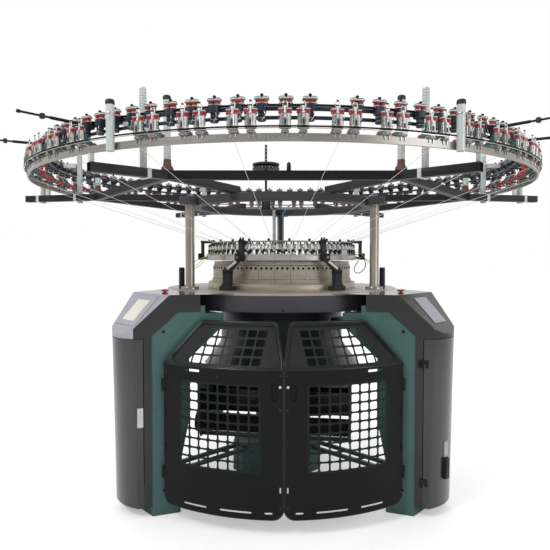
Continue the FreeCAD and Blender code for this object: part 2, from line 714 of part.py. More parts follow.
def spur_gear(teeth, z0, z1):
    """Gear with a tooth at the front, thinned by the backlash."""
    pitch = GEAR_MODULE * teeth / 2
    half = GEAR_MODULE * math.pi / 4 - BACKLASH / 2
    slope = math.tan(math.radians(20))
    above = GEAR_ADDENDUM * GEAR_MODULE
    below = GEAR_DEDENDUM * GEAR_MODULE
    half_tip = half - above * slope
    half_root = half + (below * slope if teeth > PINION_TEETH else 0)
    return prism(gear_plan(teeth, pitch + above, pitch - below, half_tip, half_root), z0, z1)


def make_bed():
    floor_top = BED_BOTTOM + BED_FLOOR
    casting = hole(BED_RADIUS, BED_BOTTOM, BED_RIM, sides=BED_SIDES)
    casting = casting.cut(hole(BED_RADIUS - BED_WALL, floor_top, ALL_Z, sides=FEEDS))
    seat = hole(BED_BORE + BED_SEAT_WIDTH, BED_BOTTOM, BED_SEAT_TOP)
    casting = casting.fuse(seat).cut(hole(BED_BORE, 0, ALL_Z))
    place = polar(PINION_CENTRE, DRIVE_AZIMUTH)
    casting = casting.cut(hole(SHAFT_RADIUS + RUNNING_FIT, 0, ALL_Z, place.x, place.y, SHAFT_SIDES))
    save("bed_ring", casting.removeSplitter())
    plate = hole(BED_RADIUS, BED_RIM, BED_TOP, sides=BED_SIDES)
    save("bed_plate", plate.cut(hole(CAM_BORE, 0, ALL_Z, sides=FEEDS)))

    columns = []
    bore = hole(TOP_PLATE_BORE, 0, ALL_Z, sides=TOP_SIDES)
    ring = [hole(TOP_PLATE_RADIUS, TOP_PLATE_BOTTOM, TOP_PLATE_TOP, sides=TOP_SIDES)]
    for azimuth in COLUMN_AZIMUTHS:
        p = polar(COLUMN_CIRCLE, azimuth)
        foot = disc(COLUMN_FOOT_RADIUS, BED_TOP, BED_TOP + COLUMN_FOOT, p.x, p.y)
        columns.append(fused([foot, disc(COLUMN_RADIUS, BED_TOP, TOP_PLATE_BOTTOM, p.x, p.y)]))
        ring.append(disc(TOP_LUG_RADIUS, TOP_PLATE_BOTTOM, TOP_PLATE_TOP, p.x, p.y, SHAFT_SIDES))
    save("columns", columns)
    save("top_plate", fused(ring).cut(bore))


def sinker_bracket():
    """Curved plate bracket from its foot on the bed plate up to the sinker ring's edge."""
    foot_u = SINKER_RADIUS + 14
    out = SINKER_RADIUS + SINKER_BRACKET_BULGE
    t = SINKER_BRACKET_THICKNESS
    middle = (BED_TOP + SINKER_TOP) / 2
    outline = [
        (foot_u, BED_TOP), (foot_u + 44, BED_TOP), (foot_u + 44, BED_TOP + t),
        (out, BED_TOP + 2 * t), (out, middle), (SINKER_RADIUS + t, SINKER_TOP), (SINKER_RADIUS, SINKER_TOP),
        (SINKER_RADIUS, SINKER_BOTTOM), (out - t, middle), (out - t, BED_TOP + t), (foot_u, BED_TOP + t),
    ]
    return profile(outline, SINKER_BRACKET_WIDTH / 2)


def make_head():
    gear = turned(spur_gear(GEAR_TEETH, GEAR_BOTTOM, GEAR_TOP), DRIVE_AZIMUTH)
    save("main_gear", gear.cut(hole(GEAR_BORE, 0, ALL_Z)))
    wall = NEEDLE_RADIUS - CYLINDER_WALL
    save("needle_cylinder", polygon_ring(TOP_SIDES, wall, NEEDLE_RADIUS, GEAR_TOP, CYLINDER_TOP))
    save("cam_base_ring", polygon_ring(FEEDS, CAM_BORE, CAM_BASE_RADIUS, BED_TOP, CAM_BASE_TOP))
    save("sinker_ring", polygon_ring(FEEDS, SINKER_BORE, SINKER_RADIUS, SINKER_BOTTOM, SINKER_TOP))
    guide_in = GUIDE_RADIUS - GUIDE_RING_WIDTH
    top = GUIDE_RING_BOTTOM + GUIDE_RING_WIDTH
    save("guide_ring", polygon_ring(FEEDS, guide_in, GUIDE_RADIUS, GUIDE_RING_BOTTOM, top))

    half_pitch = math.tan(math.pi / FEEDS)
    w_in = CAM_BORE * half_pitch - CAM_BOX_GAP / 2
    w_out = CAM_BOX_RADIUS * half_pitch - CAM_BOX_GAP / 2
    plan = [(-w_in, -CAM_BORE), (w_in, -CAM_BORE), (w_out, -CAM_BOX_RADIUS), (-w_out, -CAM_BOX_RADIUS)]
    cam_box = prism(plan, CAM_BASE_TOP, CAM_BOX_TOP)
    half = GUIDE_THICKNESS / 2
    plan = [(0, -GUIDE_RADIUS), (half, -guide_in), (-half, -guide_in)]
    guide = prism(plan, SINKER_TOP, GUIDE_RING_BOTTOM)
    steps = [k * 360.0 / FEEDS for k in range(FEEDS)]
    save("cam_boxes", [turned(cam_box, a) for a in steps])
    save("yarn_guides", [turned(guide, a) for a in steps])
    save("sinker_brackets", [turned(sinker_bracket(), a) for a in SINKER_BRACKET_AZIMUTHS])


# ---------------------------------------------------------------- drive
def belt_loop(extra, z0, z1):
    """Solid inside a belt that runs this far outside the two pulleys."""
    big = DRIVE_PULLEY_RADIUS + extra
    small = MOTOR_PULLEY_RADIUS + extra
    lean = math.degrees(math.asin((big - small) / (MOTOR_U - PINION_CENTRE)))
    plan = []
    for centre, radius, start, sweep in (
            (MOTOR_U, small, -90 + lean, 180 - 2 * lean), (PINION_CENTRE, big, 90 - lean, 180 + 2 * lean)):
        radius /= math.cos(math.radians(sweep / BELT_FACES / 2))
        for k in range(BELT_FACES + 1):
            p = polar(radius, start + sweep * k / BELT_FACES)
            plan.append((p.x, p.y - centre))
    return prism(plan, z0, z1)


def make_drive():
    centre = polar(PINION_CENTRE, DRIVE_AZIMUTH)
    motor = polar(MOTOR_U, DRIVE_AZIMUTH)
    shaft_low = BED_BOTTOM - SHAFT_BELOW_BED
    shaft = disc(SHAFT_RADIUS, shaft_low, GEAR_TOP, centre.x, centre.y, SHAFT_SIDES)
    pinion = turned(spur_gear(PINION_TEETH, GEAR_BOTTOM, GEAR_TOP), DRIVE_AZIMUTH)
    save("pinion_shaft", fused([shaft, moved(pinion, centre.x, centre.y, 0)]))
    z1 = PULLEY_Z + PULLEY_WIDTH
    pulley = disc(DRIVE_PULLEY_RADIUS, PULLEY_Z, z1, centre.x, centre.y)
    save("drive_pulley", pulley.cut(disc(SHAFT_RADIUS, 0, ALL_Z, centre.x, centre.y, SHAFT_SIDES)))

    base = LEG_SHELF_Z + LEG_PLATE
    top = base + MOTOR_HEIGHT
    bore_low = top - MOTOR_BORE_DEPTH
    fit = MOTOR_SHAFT_RADIUS + RUNNING_FIT
    body = disc(MOTOR_RADIUS, base, top, motor.x, motor.y)
    save("motor", body.cut(hole(fit, bore_low, ALL_Z, motor.x, motor.y, SHAFT_SIDES)))
    axle = disc(MOTOR_SHAFT_RADIUS, bore_low + SIDE_GAP, z1, motor.x, motor.y, SHAFT_SIDES)
    save("motor_pulley", fused([axle, disc(MOTOR_PULLEY_RADIUS, PULLEY_Z, z1, motor.x, motor.y)]))
    belt = belt_loop(SIDE_GAP + BELT_THICKNESS, PULLEY_Z + BELT_EDGE, z1 - BELT_EDGE)
    save("drive_belt", turned(belt.cut(belt_loop(SIDE_GAP, 0, ALL_Z)), DRIVE_AZIMUTH))


# ---------------------------------------------------------------- rotating take-down
def skirt_levels(inset):
    """(z, flat radius) of the skirt from its mouth up to the gear."""
    shoulder_low = SKIRT_SHOULDER_Z - SKIRT_SHOULDER_DROP
    return [
        (SKIRT_MOUTH_Z, SKIRT_MOUTH_RADIUS - inset), (SKIRT_FLARE_Z, SKIRT_RADIUS - inset),
        (shoulder_low - inset, SKIRT_RADIUS - inset),
        (SKIRT_SHOULDER_Z - inset, SKIRT_NECK_RADIUS - inset),
        (GEAR_BOTTOM, SKIRT_NECK_RADIUS - inset),
    ]


def make_takedown():
    outer = faceted(skirt_levels(0), SKIRT_SIDES)
    skirt = outer.cut(faceted(skirt_levels(SKIRT_SHEET), SKIRT_SIDES))
    save("takedown_skirt", turned(skirt, TAKEDOWN_YAW))

    half = SIDE_PLATE_HALF
    inner = half - SIDE_PLATE
    plate_top = SKIRT_MOUTH_Z - CROWN_DEPTH
    outline = [
        (SIDE_PLATE_FRONT - 15, plate_top), (-SIDE_PLATE_REAR + 40, plate_top),
        (-SIDE_PLATE_REAR, plate_top - SIDE_PLATE_NOTCH), (-SIDE_PLATE_REAR, SIDE_PLATE_BOTTOM),
        (SIDE_PLATE_FRONT - 25, SIDE_PLATE_BOTTOM), (SIDE_PLATE_FRONT, SIDE_PLATE_BOTTOM + SIDE_PLATE_SLANT),
        (SIDE_PLATE_FRONT, plate_top - 32),
    ]
    draw_rear_y = DRAW_Y + 2 * DRAW_RADIUS + DRAW_NIP
    rollers = {
        "winding_roller": (WINDING_RADIUS, WINDING_Y, WINDING_Z),
        "draw_roller_front": (DRAW_RADIUS, DRAW_Y, DRAW_Z),
        "draw_roller_rear": (DRAW_RADIUS, draw_rear_y, DRAW_Z),
    }
    lobe = across(WINDING_LOBE, WINDING_Y, WINDING_Z, -half, half, ROUND_SIDES)
    plates = fused([profile(outline, half), lobe]).cut(box(-inner, inner, -WIDE, WIDE, 0, ALL_Z))
    crown = polygon_ring(SKIRT_SIDES, SKIRT_MOUTH_RADIUS - CROWN_WIDTH, SKIRT_MOUTH_RADIUS,
                         plate_top, SKIRT_MOUTH_Z)
    base_z = SIDE_PLATE_BOTTOM + CROSS_BAR
    beam = box(-inner, inner, -BOSS_RADIUS, BOSS_RADIUS, SIDE_PLATE_BOTTOM, base_z)
    front_bar = box(-inner, inner, FRONT_BAR_Y, FRONT_BAR_Y + CROSS_BAR, SIDE_PLATE_BOTTOM, base_z)
    boss = disc(BOSS_RADIUS, HUB_HEIGHT + SIDE_GAP, base_z)
    frame = fused([plates, crown, beam, front_bar, boss])
    spigot_top = HUB_HEIGHT + SPIGOT_HEIGHT + SIDE_GAP
    frame = frame.cut(hole(SPIGOT_RADIUS + RUNNING_FIT, 0, spigot_top, sides=SHAFT_SIDES))
    for name, (radius, y, z) in rollers.items():
        shape = roller(radius, y, z, inner - SIDE_GAP, SIDE_PLATE)
        save(name, turned(shape, TAKEDOWN_YAW))
        bore = JOURNAL_RADIUS + RUNNING_FIT
        frame = frame.cut(across(bore, y, z, -WIDE, WIDE, SHAFT_SIDES, False))
    save("takedown_frame", turned(frame, TAKEDOWN_YAW))
    panel = box(-inner, inner, -SIDE_PLATE_FRONT, -SIDE_PLATE_FRONT + PANEL_SHEET, PANEL_BOTTOM, PANEL_TOP)
    save("takedown_panel", turned(panel, TAKEDOWN_YAW))
    bar = across(SPREADER_RADIUS, SPREADER_Y, SPREADER_Z, -inner, inner, ROUND_SIDES)
    save("spreader_bar", turned(bar, TAKEDOWN_YAW))


# ---------------------------------------------------------------- upper frame
def frame_corners():
    return [polar(FRAME_RADIUS, a) for a in FRAME_AZIMUTHS]


def offset_corner(before, corner, after, distance):
    """Corner of the ring of beams, moved outward by a distance from both beams."""
    first = corner - before
    second = after - corner
    first.normalize()
    second.normalize()
    n1 = vec(first.y, -first.x)
    n2 = vec(second.y, -second.x)
    bisector = n1 + n2
    bisector.normalize()
    return corner + bisector * (distance / bisector.dot(n1))


def frame_beams():
    """Mitred beams of the ring round the top plate."""
    corners = frame_corners()
    count = len(corners)
    edge = {}
    for side in (-1, 1):
        edge[side] = [
            offset_corner(corners[k - 1], corners[k], corners[(k + 1) % count], side * FRAME_TUBE / 2)
            for k in range(count)
        ]
    beams = []
    for k in range(count):
        n = (k + 1) % count
        plan = [edge[1][k], edge[1][n], edge[-1][n], edge[-1][k]]
        beams.append(prism([(p.x, p.y) for p in plan], TOP_PLATE_TOP, FRAME_TOP))
    return beams


def arm_ends():
    """Outer end of the arm at each corner of the frame."""
    fx, fy = FRONT_ARM_END
    sx, sy = SIDE_ARM_END
    rx, ry = REAR_ARM_END
    return [vec(-fx, fy), vec(fx, fy), vec(sx, sy), vec(rx, ry), vec(-rx, ry), vec(-sx, sy)]


def point_at_radius(start, end, radius):
    """Point of a straight arm at a distance from the machine's axis."""
    low, high = 0.0, 2.0
    for _ in range(40):
        middle = (low + high) / 2
        if (start + (end - start) * middle).Length < radius:
            low = middle
        else:
            high = middle
    return start + (end - start) * low


def post(centre, along, z0, z1):
    """Square post turned to its arm, and the pyramid cap on it."""
    half = along * (POST_WIDTH / 2)
    body = strip(centre - half, centre + half, POST_WIDTH, z0, z1)
    side = vec(-half.y, half.x)
    base = [centre + half + side, centre - half + side, centre - half - side, centre + half - side]
    base = [vec(p.x, p.y, z1) for p in base]
    tip = vec(centre.x, centre.y, z1 + POST_CAP)
    faces = [face_of(base)] + [face_of([base[k - 1], base[k], tip]) for k in range(4)]
    cap = Part.makeSolid(Part.makeShell(faces))
    if cap.Volume < 0:
        cap.reverse()
    return body, cap


# tops of the posts, with the radius along the arm and the bottom of those beside an arm
FRONT_POSTS = {"corner": 2035.0, "inner": (1244.0, 1662.0, 2060.0), "outer": (1729.0, 1924.0)}
SIDE_POSTS = {"corner": 1813.0, "inner": (1295.0, 1652.0, 1946.0), "outer": (1554.0, 1657.0, 1846.0)}


def make_upper_frame():
    beams = frame_beams()
    save("frame_beams", beams)
    ring_of_beams = Part.makeCompound(beams)
    inside_rail = turned(hole(RAIL_RADIUS - RAIL_THICKNESS, 0, ALL_Z, sides=RAIL_SIDES), UPPER_TURN)
    arms = []
    posts = []
    brackets = []
    for azimuth, corner, end in zip(FRAME_AZIMUTHS, frame_corners(), arm_ends()):
        front = abs(azimuth) < 45
        plan = FRONT_POSTS if front else SIDE_POSTS
        along = end - corner
        along.normalize()
        beside = vec(-along.y, along.x) * (1 if azimuth > 0 else -1)
        arm = tube(corner, end, FRAME_TUBE, TOP_PLATE_TOP, FRAME_TOP, TUBE_WALL)
        spoke = strip(polar(SPOKE_START, azimuth), corner, FRAME_TUBE, TOP_PLATE_TOP, FRAME_TOP)
        arms += [arm.cut(ring_of_beams), spoke.cut(ring_of_beams)]

        posts.append(post(corner, along, FRAME_TOP, plan["corner"]))
        for place in ("inner",) if front else ("inner", "outer"):
            radius, low, top = plan[place]
            foot = point_at_radius(corner, end, radius)
            centre = foot + beside * ((FRAME_TUBE + POST_WIDTH) / 2)
            posts.append(post(centre, along, low, top))
            if place == "inner":
                outward = centre * (1 / centre.Length)
                reach = strip(centre, centre + outward * WIDE, BRACKET_WIDTH,
                              RAIL_BOTTOM, RAIL_BOTTOM + RAIL_DEPTH)
                brackets.append(reach.common(inside_rail).cut(posts[-1][0]))
        lug = point_at_radius(corner, end, OUTER_RING_RADIUS - OUTER_RING_THICKNESS / 2)
        half = along * (BRACKET_WIDTH / 2)
        brackets.append(strip(lug - half, lug + half, BRACKET_WIDTH, FRAME_TOP, OUTER_RING_BOTTOM))

    low, top = FRONT_POSTS["outer"]
    for side in (-1, 1):
        azimuth = side * OUTER_POST_FLAT * 360.0 / RING_SIDES
        place = polar(OUTER_RING_RADIUS + POST_WIDTH / 2, azimuth)
        place = place + polar(OUTER_POST_SHIFT, azimuth - side * 90)
        posts.append(post(place, polar(1, azimuth), low, top))
    save("frame_arms", arms)
    save("post_tubes", [body for body, _ in posts])
    save("post_caps", [cap for _, cap in posts])
    save("ring_brackets", brackets)
    inner = OUTER_RING_RADIUS - OUTER_RING_THICKNESS
    save("outer_ring", polygon_ring(RING_SIDES, inner, OUTER_RING_RADIUS, OUTER_RING_BOTTOM, OUTER_RING_TOP))


# ---------------------------------------------------------------- feeders and yarns
def make_feeders():
    rail_in = RAIL_RADIUS - RAIL_THICKNESS
    rail_top = RAIL_BOTTOM + RAIL_DEPTH
    rail = polygon_ring(RAIL_SIDES, rail_in, RAIL_RADIUS, RAIL_BOTTOM, rail_top)
    save("feeder_rail", turned(rail, UPPER_TURN))
    half = UPPER_FEEDER_WIDTH / 2
    back = RAIL_RADIUS + UPPER_FEEDER_DEPTH
    body = prism([(half, -back), (-half, -back), (0, -RAIL_RADIUS)], UPPER_FEEDER_BOTTOM, UPPER_FEEDER_TOP)
    uppers = [turned(body, UPPER_TURN + k * 360.0 / UPPER_FEEDERS) for k in range(UPPER_FEEDERS)]
    save("upper_feeders", uppers)

    far = OUTER_RING_RADIUS + LOWER_FEEDER_OVERHANG
    low = OUTER_RING_TOP
    outline = [(far, low), (far, low + LOWER_FEEDER_HEIGHT), (far - LOWER_FEEDER_DEPTH, low)]
    body = profile(outline, LOWER_FEEDER_WIDTH / 2)
    pairs = [k for k in range(LOWER_PAIRS) if k != LOWER_LEFT_OUT]
    save("lower_feeders", [turned(body, LOWER_TURN + k * 360.0 / LOWER_PAIRS) for k in pairs])


def make_yarns():
    """Taut yarns from under the outer ring, below the beams, to the guide ring."""
    step = 360.0 / YARN_COUNT
    top = GUIDE_RING_BOTTOM + GUIDE_RING_WIDTH
    yarns = []
    for k in range(YARN_COUNT):
        azimuth = (k + 0.5) * step
        start = polar(OUTER_RING_RADIUS - YARN_INSET, azimuth, OUTER_RING_BOTTOM)
        yarns.append(rod(start, polar(GUIDE_RADIUS, azimuth, top + YARN_RADIUS), YARN_RADIUS, 3))
    save("yarns", yarns)


# ---------------------------------------------------------------- fittings
def make_fittings():
    x, y = PULLEY_STAND
    top = TOP_PLATE_TOP + PULLEY_HOUSING_HEIGHT
    low = TOP_PLATE_TOP + PULLEY_SHAFT_SEAT
    fit = PULLEY_SHAFT_RADIUS + RUNNING_FIT
    housing = disc(PULLEY_HOUSING_RADIUS, TOP_PLATE_TOP, top, x, y)
    save("pulley_housing", housing.cut(hole(fit, low, ALL_Z, x, y, SHAFT_SIDES)))
    z0 = PULLEY_DISC_Z
    z1 = z0 + PULLEY_DISC_DEPTH
    z2 = z1 + PULLEY_GROOVE
    save("quality_pulley", fused([
        disc(PULLEY_DISC_RADIUS, z0, z1, x, y), disc(PULLEY_CORE_RADIUS, z0, z2, x, y),
        disc(PULLEY_DISC_RADIUS, z2, z2 + PULLEY_DISC_DEPTH, x, y),
        disc(PULLEY_SHAFT_RADIUS, low + SIDE_GAP, PULLEY_SHAFT_TOP, x, y, SHAFT_SIDES),
    ]))
    middle = TOP_PLATE_BORE - CONDUIT_RADIUS
    save("conduit", hole(CONDUIT_RADIUS, BED_TOP, TOP_PLATE_TOP, 0, middle, SHAFT_SIDES))
    rods = []
    for k in ROD_CORNERS:
        azimuth = UPPER_TURN + (k + 0.5) * 360.0 / RAIL_SIDES
        start = polar(RAIL_RADIUS / math.cos(math.pi / RAIL_SIDES), azimuth, ROD_LEVEL)
        rods.append(rod(start, polar(RAIL_RADIUS + ROD_LENGTH, azimuth, ROD_LEVEL), ROD_RADIUS, ROD_SIDES))
    save("guide_rods", rods)


# ---------------------------------------------------------------- gates
def gate_band(depth0, depth1):
    """Sheet of the gate between two depths: upright below the fold and leaning back above it."""
    plan = []
    for depth, order in ((depth0, 1), (depth1, -1)):
        line = []
        for x in GATE_FACETS:
            a = math.asin(x / GATE_RADIUS)
            line.append(((GATE_RADIUS - depth) * math.sin(a), -(GATE_RADIUS - depth) * math.cos(a)))
        plan += line[::order]
    fold = face_of([vec(x, y, GATE_FOLD) for x, y in plan])
    rise = GATE_TOP - GATE_FOLD
    return fused([prism(plan, 0, GATE_FOLD), fold.extrude(vec(0, GATE_LEAN * 1.1, rise * 1.1))])


def gate_outline(inset, fold):
    """Front view of the gate as (x, z) points: the upper sides slant in from the fold."""
    edge = GATE_HALF_WIDTH - inset
    lower = [(-edge, GATE_BOTTOM + inset), (edge, GATE_BOTTOM + inset), (edge, fold), (-edge, fold)]
    upper = [(edge, fold), (GATE_TOP_OUTER - inset, GATE_TOP - inset),
             (-GATE_TOP_INNER + inset, GATE_TOP - inset), (-edge, fold)]
    return lower, upper


def front_cut(outline):
    """Cutter through the gate over an outline seen from the front."""
    return face_of([vec(x, 0, z) for x, z in outline]).extrude(vec(0, -WIDE, 0))


def corner_cut(outline, k, radius):
    """What rounding takes off one corner of an outline."""
    count = len(outline)
    before, corner, after = (vec(*outline[n % count]) for n in (k - 1, k, k + 1))
    first = before - corner
    second = after - corner
    first.normalize()
    second.normalize()
    half = first.getAngle(second) / 2
    start = corner + first * (radius / math.tan(half))
    end = corner + second * (radius / math.tan(half))
    bisector = first + second
    bisector.normalize()
    middle = corner + bisector * (radius / math.sin(half) - radius)
    a, b, c, m = (vec(p.x, 0, p.y) for p in (start, end, corner, middle))
    return face_of([a, m, b, c]).extrude(vec(0, -WIDE, 0))


def gate_windows():
    """Front views of the lower and the upper window."""
    w = WINDOW_HALF_WIDTH
    lower = [(-w, WINDOW_BOTTOM), (w, WINDOW_BOTTOM), (w, WINDOW_TOP), (-w, WINDOW_TOP)]
    upper = [(-w, UPPER_WINDOW_BOTTOM), (w, UPPER_WINDOW_BOTTOM),
             (UPPER_WINDOW_CORNER, UPPER_WINDOW_TOP), (-w, UPPER_WINDOW_TOP)]
    return lower, upper


def gate_grille():
    """Flat bars that fill the windows: uprights at the back of the sheet, level bars at its front."""
    bars = []
    half = GRILLE_BAR / 2
    column = 2 * WINDOW_HALF_WIDTH / WINDOW_COLUMNS
    lower, upper = gate_windows()
    windows = ((lower, 0, WINDOW_ROWS, WINDOW_BOTTOM, WINDOW_TOP),
               (upper, GATE_RIM, UPPER_WINDOW_ROWS, UPPER_WINDOW_BOTTOM, UPPER_WINDOW_TOP))
    for outline, depth, rows, z0, z1 in windows:
        opening = front_cut(outline)
        front = gate_band(depth, depth + GATE_SHEET / 2).common(opening)
        back = gate_band(depth + GATE_SHEET / 2, depth + GATE_SHEET).common(opening)
        for k in range(1, WINDOW_COLUMNS):
            x = k * column - WINDOW_HALF_WIDTH
            bars.append(back.common(box(x - half, x + half, -WIDE, 0, z0, z1)))
        for k in range(1, rows):
            z = z0 + k * (z1 - z0) / rows
            bars.append(front.common(box(-WIDE, WIDE, -WIDE, 0, z - half, z + half)))
    return bars


def gate():
    """Gate drawn with its middle at azimuth 0 and its hinge side towards +X."""
    b = GATE_BORDER
    lower, upper = gate_outline(0, GATE_FOLD)
    body = gate_band(0, GATE_DEPTH).common(fused([front_cut(lower), front_cut(upper)]))
    low_pocket = front_cut(gate_outline(b, GATE_FOLD - b)[0])
    high_pocket = front_cut(gate_outline(b, GATE_FOLD + b)[1])
    behind = 2 * GATE_DEPTH
    body = body.cut(gate_band(GATE_SHEET, behind).common(low_pocket))
    body = body.cut(gate_band(GATE_RIM + GATE_SHEET, behind).common(high_pocket))
    body = body.cut(gate_band(-GATE_DEPTH, GATE_RIM).common(high_pocket))
    for window in gate_windows():
        body = body.cut(front_cut(window))
    for outline, k, radius in ((lower, 0, GATE_CORNER), (lower, 1, GATE_CORNER),
                               (upper, 1, GATE_TOP_CORNER), (upper, 2, GATE_TOP_CORNER)):
        body = body.cut(corner_cut(outline, k, radius))
    return body, gate_grille()


def gate_hinge(level):
    """Bracket with its pin on the leg, and the knuckle on the gate, for the gate at the right."""
    place = polar(GATE_HINGE_RADIUS, GATE_HINGE_AZIMUTH)
    z1 = level + GATE_HINGE_HEIGHT
    middle = level + GATE_HINGE_HEIGHT / 2
    leg_azimuth = LEG_AZIMUTHS["right"]
    leg_side = turned(wedge(LEG_ARM_U, LEG_HOOD_U, 0, 0, ALL_Z), leg_azimuth)
    inward = polar(1, leg_azimuth + 90 + math.degrees(math.atan(LEG_TAPER)))
    arm = strip(place, place + inward * GATE_HINGE_ARM, GATE_KNUCKLE_RADIUS, level, middle - SIDE_GAP)
    fixed = fused([
        disc(GATE_PIN_RADIUS, level, z1, place.x, place.y, PIN_SIDES),
        disc(GATE_KNUCKLE_RADIUS, level, middle - SIDE_GAP, place.x, place.y, PIN_SIDES),
        arm.cut(leg_side),
    ])
    edge = polar(GATE_RADIUS - GATE_DEPTH / 2, 2 * GATE_MID - 1)
    bore = hole(GATE_PIN_RADIUS + RUNNING_FIT, level, z1 + 1, place.x, place.y, PIN_SIDES)
    moving = fused([
        disc(GATE_KNUCKLE_RADIUS, middle, z1, place.x, place.y, PIN_SIDES),
        strip(place, edge, GATE_KNUCKLE_RADIUS, middle, z1),
    ])
    return fixed, moving.cut(bore)


def make_gates():
    pairs = [gate_hinge(level) for level in GATE_HINGE_LEVELS]
    panel, bars = gate()
    right = [fused([turned(panel, GATE_MID)] + [moving for _, moving in pairs])]
    right += [turned(bar, GATE_MID) for bar in bars]
    fixed = [bracket for bracket, _ in pairs]
    mirror = (vec(0, 0), vec(1, 0, 0))
    save("gate_right", right)
    save("gate_left", [solid.mirror(*mirror) for solid in right])
    save("gate_hinge_pins", fixed + [bracket.mirror(*mirror) for bracket in fixed])


make_legs()
make_bed()
make_head()
make_drive()
make_takedown()
make_upper_frame()
make_feeders()
make_yarns()
make_fittings()
make_gates()
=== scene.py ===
import math

import bmesh
import bpy
from mathutils import Matrix, Vector
from mathutils.geometry import delaunay_2d_cdt


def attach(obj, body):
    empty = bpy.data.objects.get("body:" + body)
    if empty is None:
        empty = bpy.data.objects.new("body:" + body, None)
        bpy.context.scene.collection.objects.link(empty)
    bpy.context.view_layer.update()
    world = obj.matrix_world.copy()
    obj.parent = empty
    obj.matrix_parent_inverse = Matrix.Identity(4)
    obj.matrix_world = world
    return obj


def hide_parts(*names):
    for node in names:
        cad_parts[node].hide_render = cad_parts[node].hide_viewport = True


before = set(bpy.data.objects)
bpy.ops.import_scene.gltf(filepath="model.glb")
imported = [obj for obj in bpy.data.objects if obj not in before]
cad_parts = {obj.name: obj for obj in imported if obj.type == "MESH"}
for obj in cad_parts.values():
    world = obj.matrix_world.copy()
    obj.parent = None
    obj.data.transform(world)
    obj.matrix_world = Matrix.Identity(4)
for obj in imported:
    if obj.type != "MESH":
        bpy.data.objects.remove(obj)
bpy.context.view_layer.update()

TAU = 2 * math.pi
BODY = "machine"
TAKEDOWN = "cylinder_and_takedown"


# ---- materials
SHADE_STOPS = (0.32, 0.72)
COAT_ROUGHNESS = 0.15
DUST = (0.5, 0.48, 0.44, 1)
RELIEF_DEPTH = 0.002


def node(tree, kind, **inputs):
    made = tree.nodes.new(kind)
    for name, value in inputs.items():
        made.inputs[name.replace("_", " ")].default_value = value
    return made


def join(tree, *links):
    """Links, each as a node, its output, another node and its input."""
    for source, output, target, socket in links:
        tree.links.new(source.outputs[output], target.inputs[socket])


def product(tree, clamp=False):
    made = node(tree, "ShaderNodeMath")
    made.operation = "MULTIPLY"
    made.use_clamp = clamp
    return made


def material(name, color, rough=0.45, metal=0.0, vary=0.12, scale=6.0, stretch=(1, 1, 1), bump=0.05,
             bump_scale=60.0, coat=0.0, rough_vary=0.1, dust=0.0, glow=0.0, spec=0.5):
    """Painted, cast or machined surface: mottled colour, uneven gloss, fine relief and settled dust."""
    made = bpy.data.materials.new(name)
    made.use_nodes = True
    t = made.node_tree
    shader = t.nodes["Principled BSDF"]
    shader.inputs["Metallic"].default_value = metal
    shader.inputs["Specular IOR Level"].default_value = spec
    if coat:
        shader.inputs["Coat Weight"].default_value = coat
        shader.inputs["Coat Roughness"].default_value = COAT_ROUGHNESS
    place = node(t, "ShaderNodeTexCoord")
    spread = node(t, "ShaderNodeMapping", Scale=stretch)
    broad = node(t, "ShaderNodeTexNoise", Scale=scale, Detail=5.0, Roughness=0.6)
    fine = node(t, "ShaderNodeTexNoise", Scale=bump_scale, Detail=3.0)
    ramp = node(t, "ShaderNodeValToRGB")
    for stop, position, change in zip(ramp.color_ramp.elements, SHADE_STOPS, (-vary, vary)):
        stop.position = position
        stop.color = [min(1, c * (1 + change)) for c in color] + [1]
    join(t, (place, "Object", spread, "Vector"), (spread, "Vector", broad, "Vector"),
         (spread, "Vector", fine, "Vector"), (broad, "Fac", ramp, "Fac"))
    shade = (ramp, "Color")
    if dust:
        geometry = node(t, "ShaderNodeNewGeometry")
        upward = node(t, "ShaderNodeSeparateXYZ")
        amount = product(t, clamp=True)
        patch = product(t)
        patch.inputs[1].default_value = dust
        mix = node(t, "ShaderNodeMix")
        mix.data_type = "RGBA"
        mix.inputs["B"].default_value = DUST
        join(t, (geometry, "Normal", upward, "Vector"), (upward, "Z", amount, 0), (fine, "Fac", patch, 0),
             (patch, 0, amount, 1), (amount, 0, mix, "Factor"), (*shade, mix, "A"))
        shade = (mix, "Result")
    gloss = node(t, "ShaderNodeMapRange", To_Min=max(0.03, rough - rough_vary),
                 To_Max=min(1, rough + rough_vary))
    relief = node(t, "ShaderNodeBump", Strength=bump, Distance=RELIEF_DEPTH)
    join(t, (*shade, shader, "Base Color"), (broad, "Fac", gloss, "Value"),
         (gloss, "Result", shader, "Roughness"), (fine, "Fac", relief, "Height"),
         (relief, "Normal", shader, "Normal"))
    if glow:
        join(t, (*shade, shader, "Emission Color"))
        shader.inputs["Emission Strength"].default_value = glow
    return made


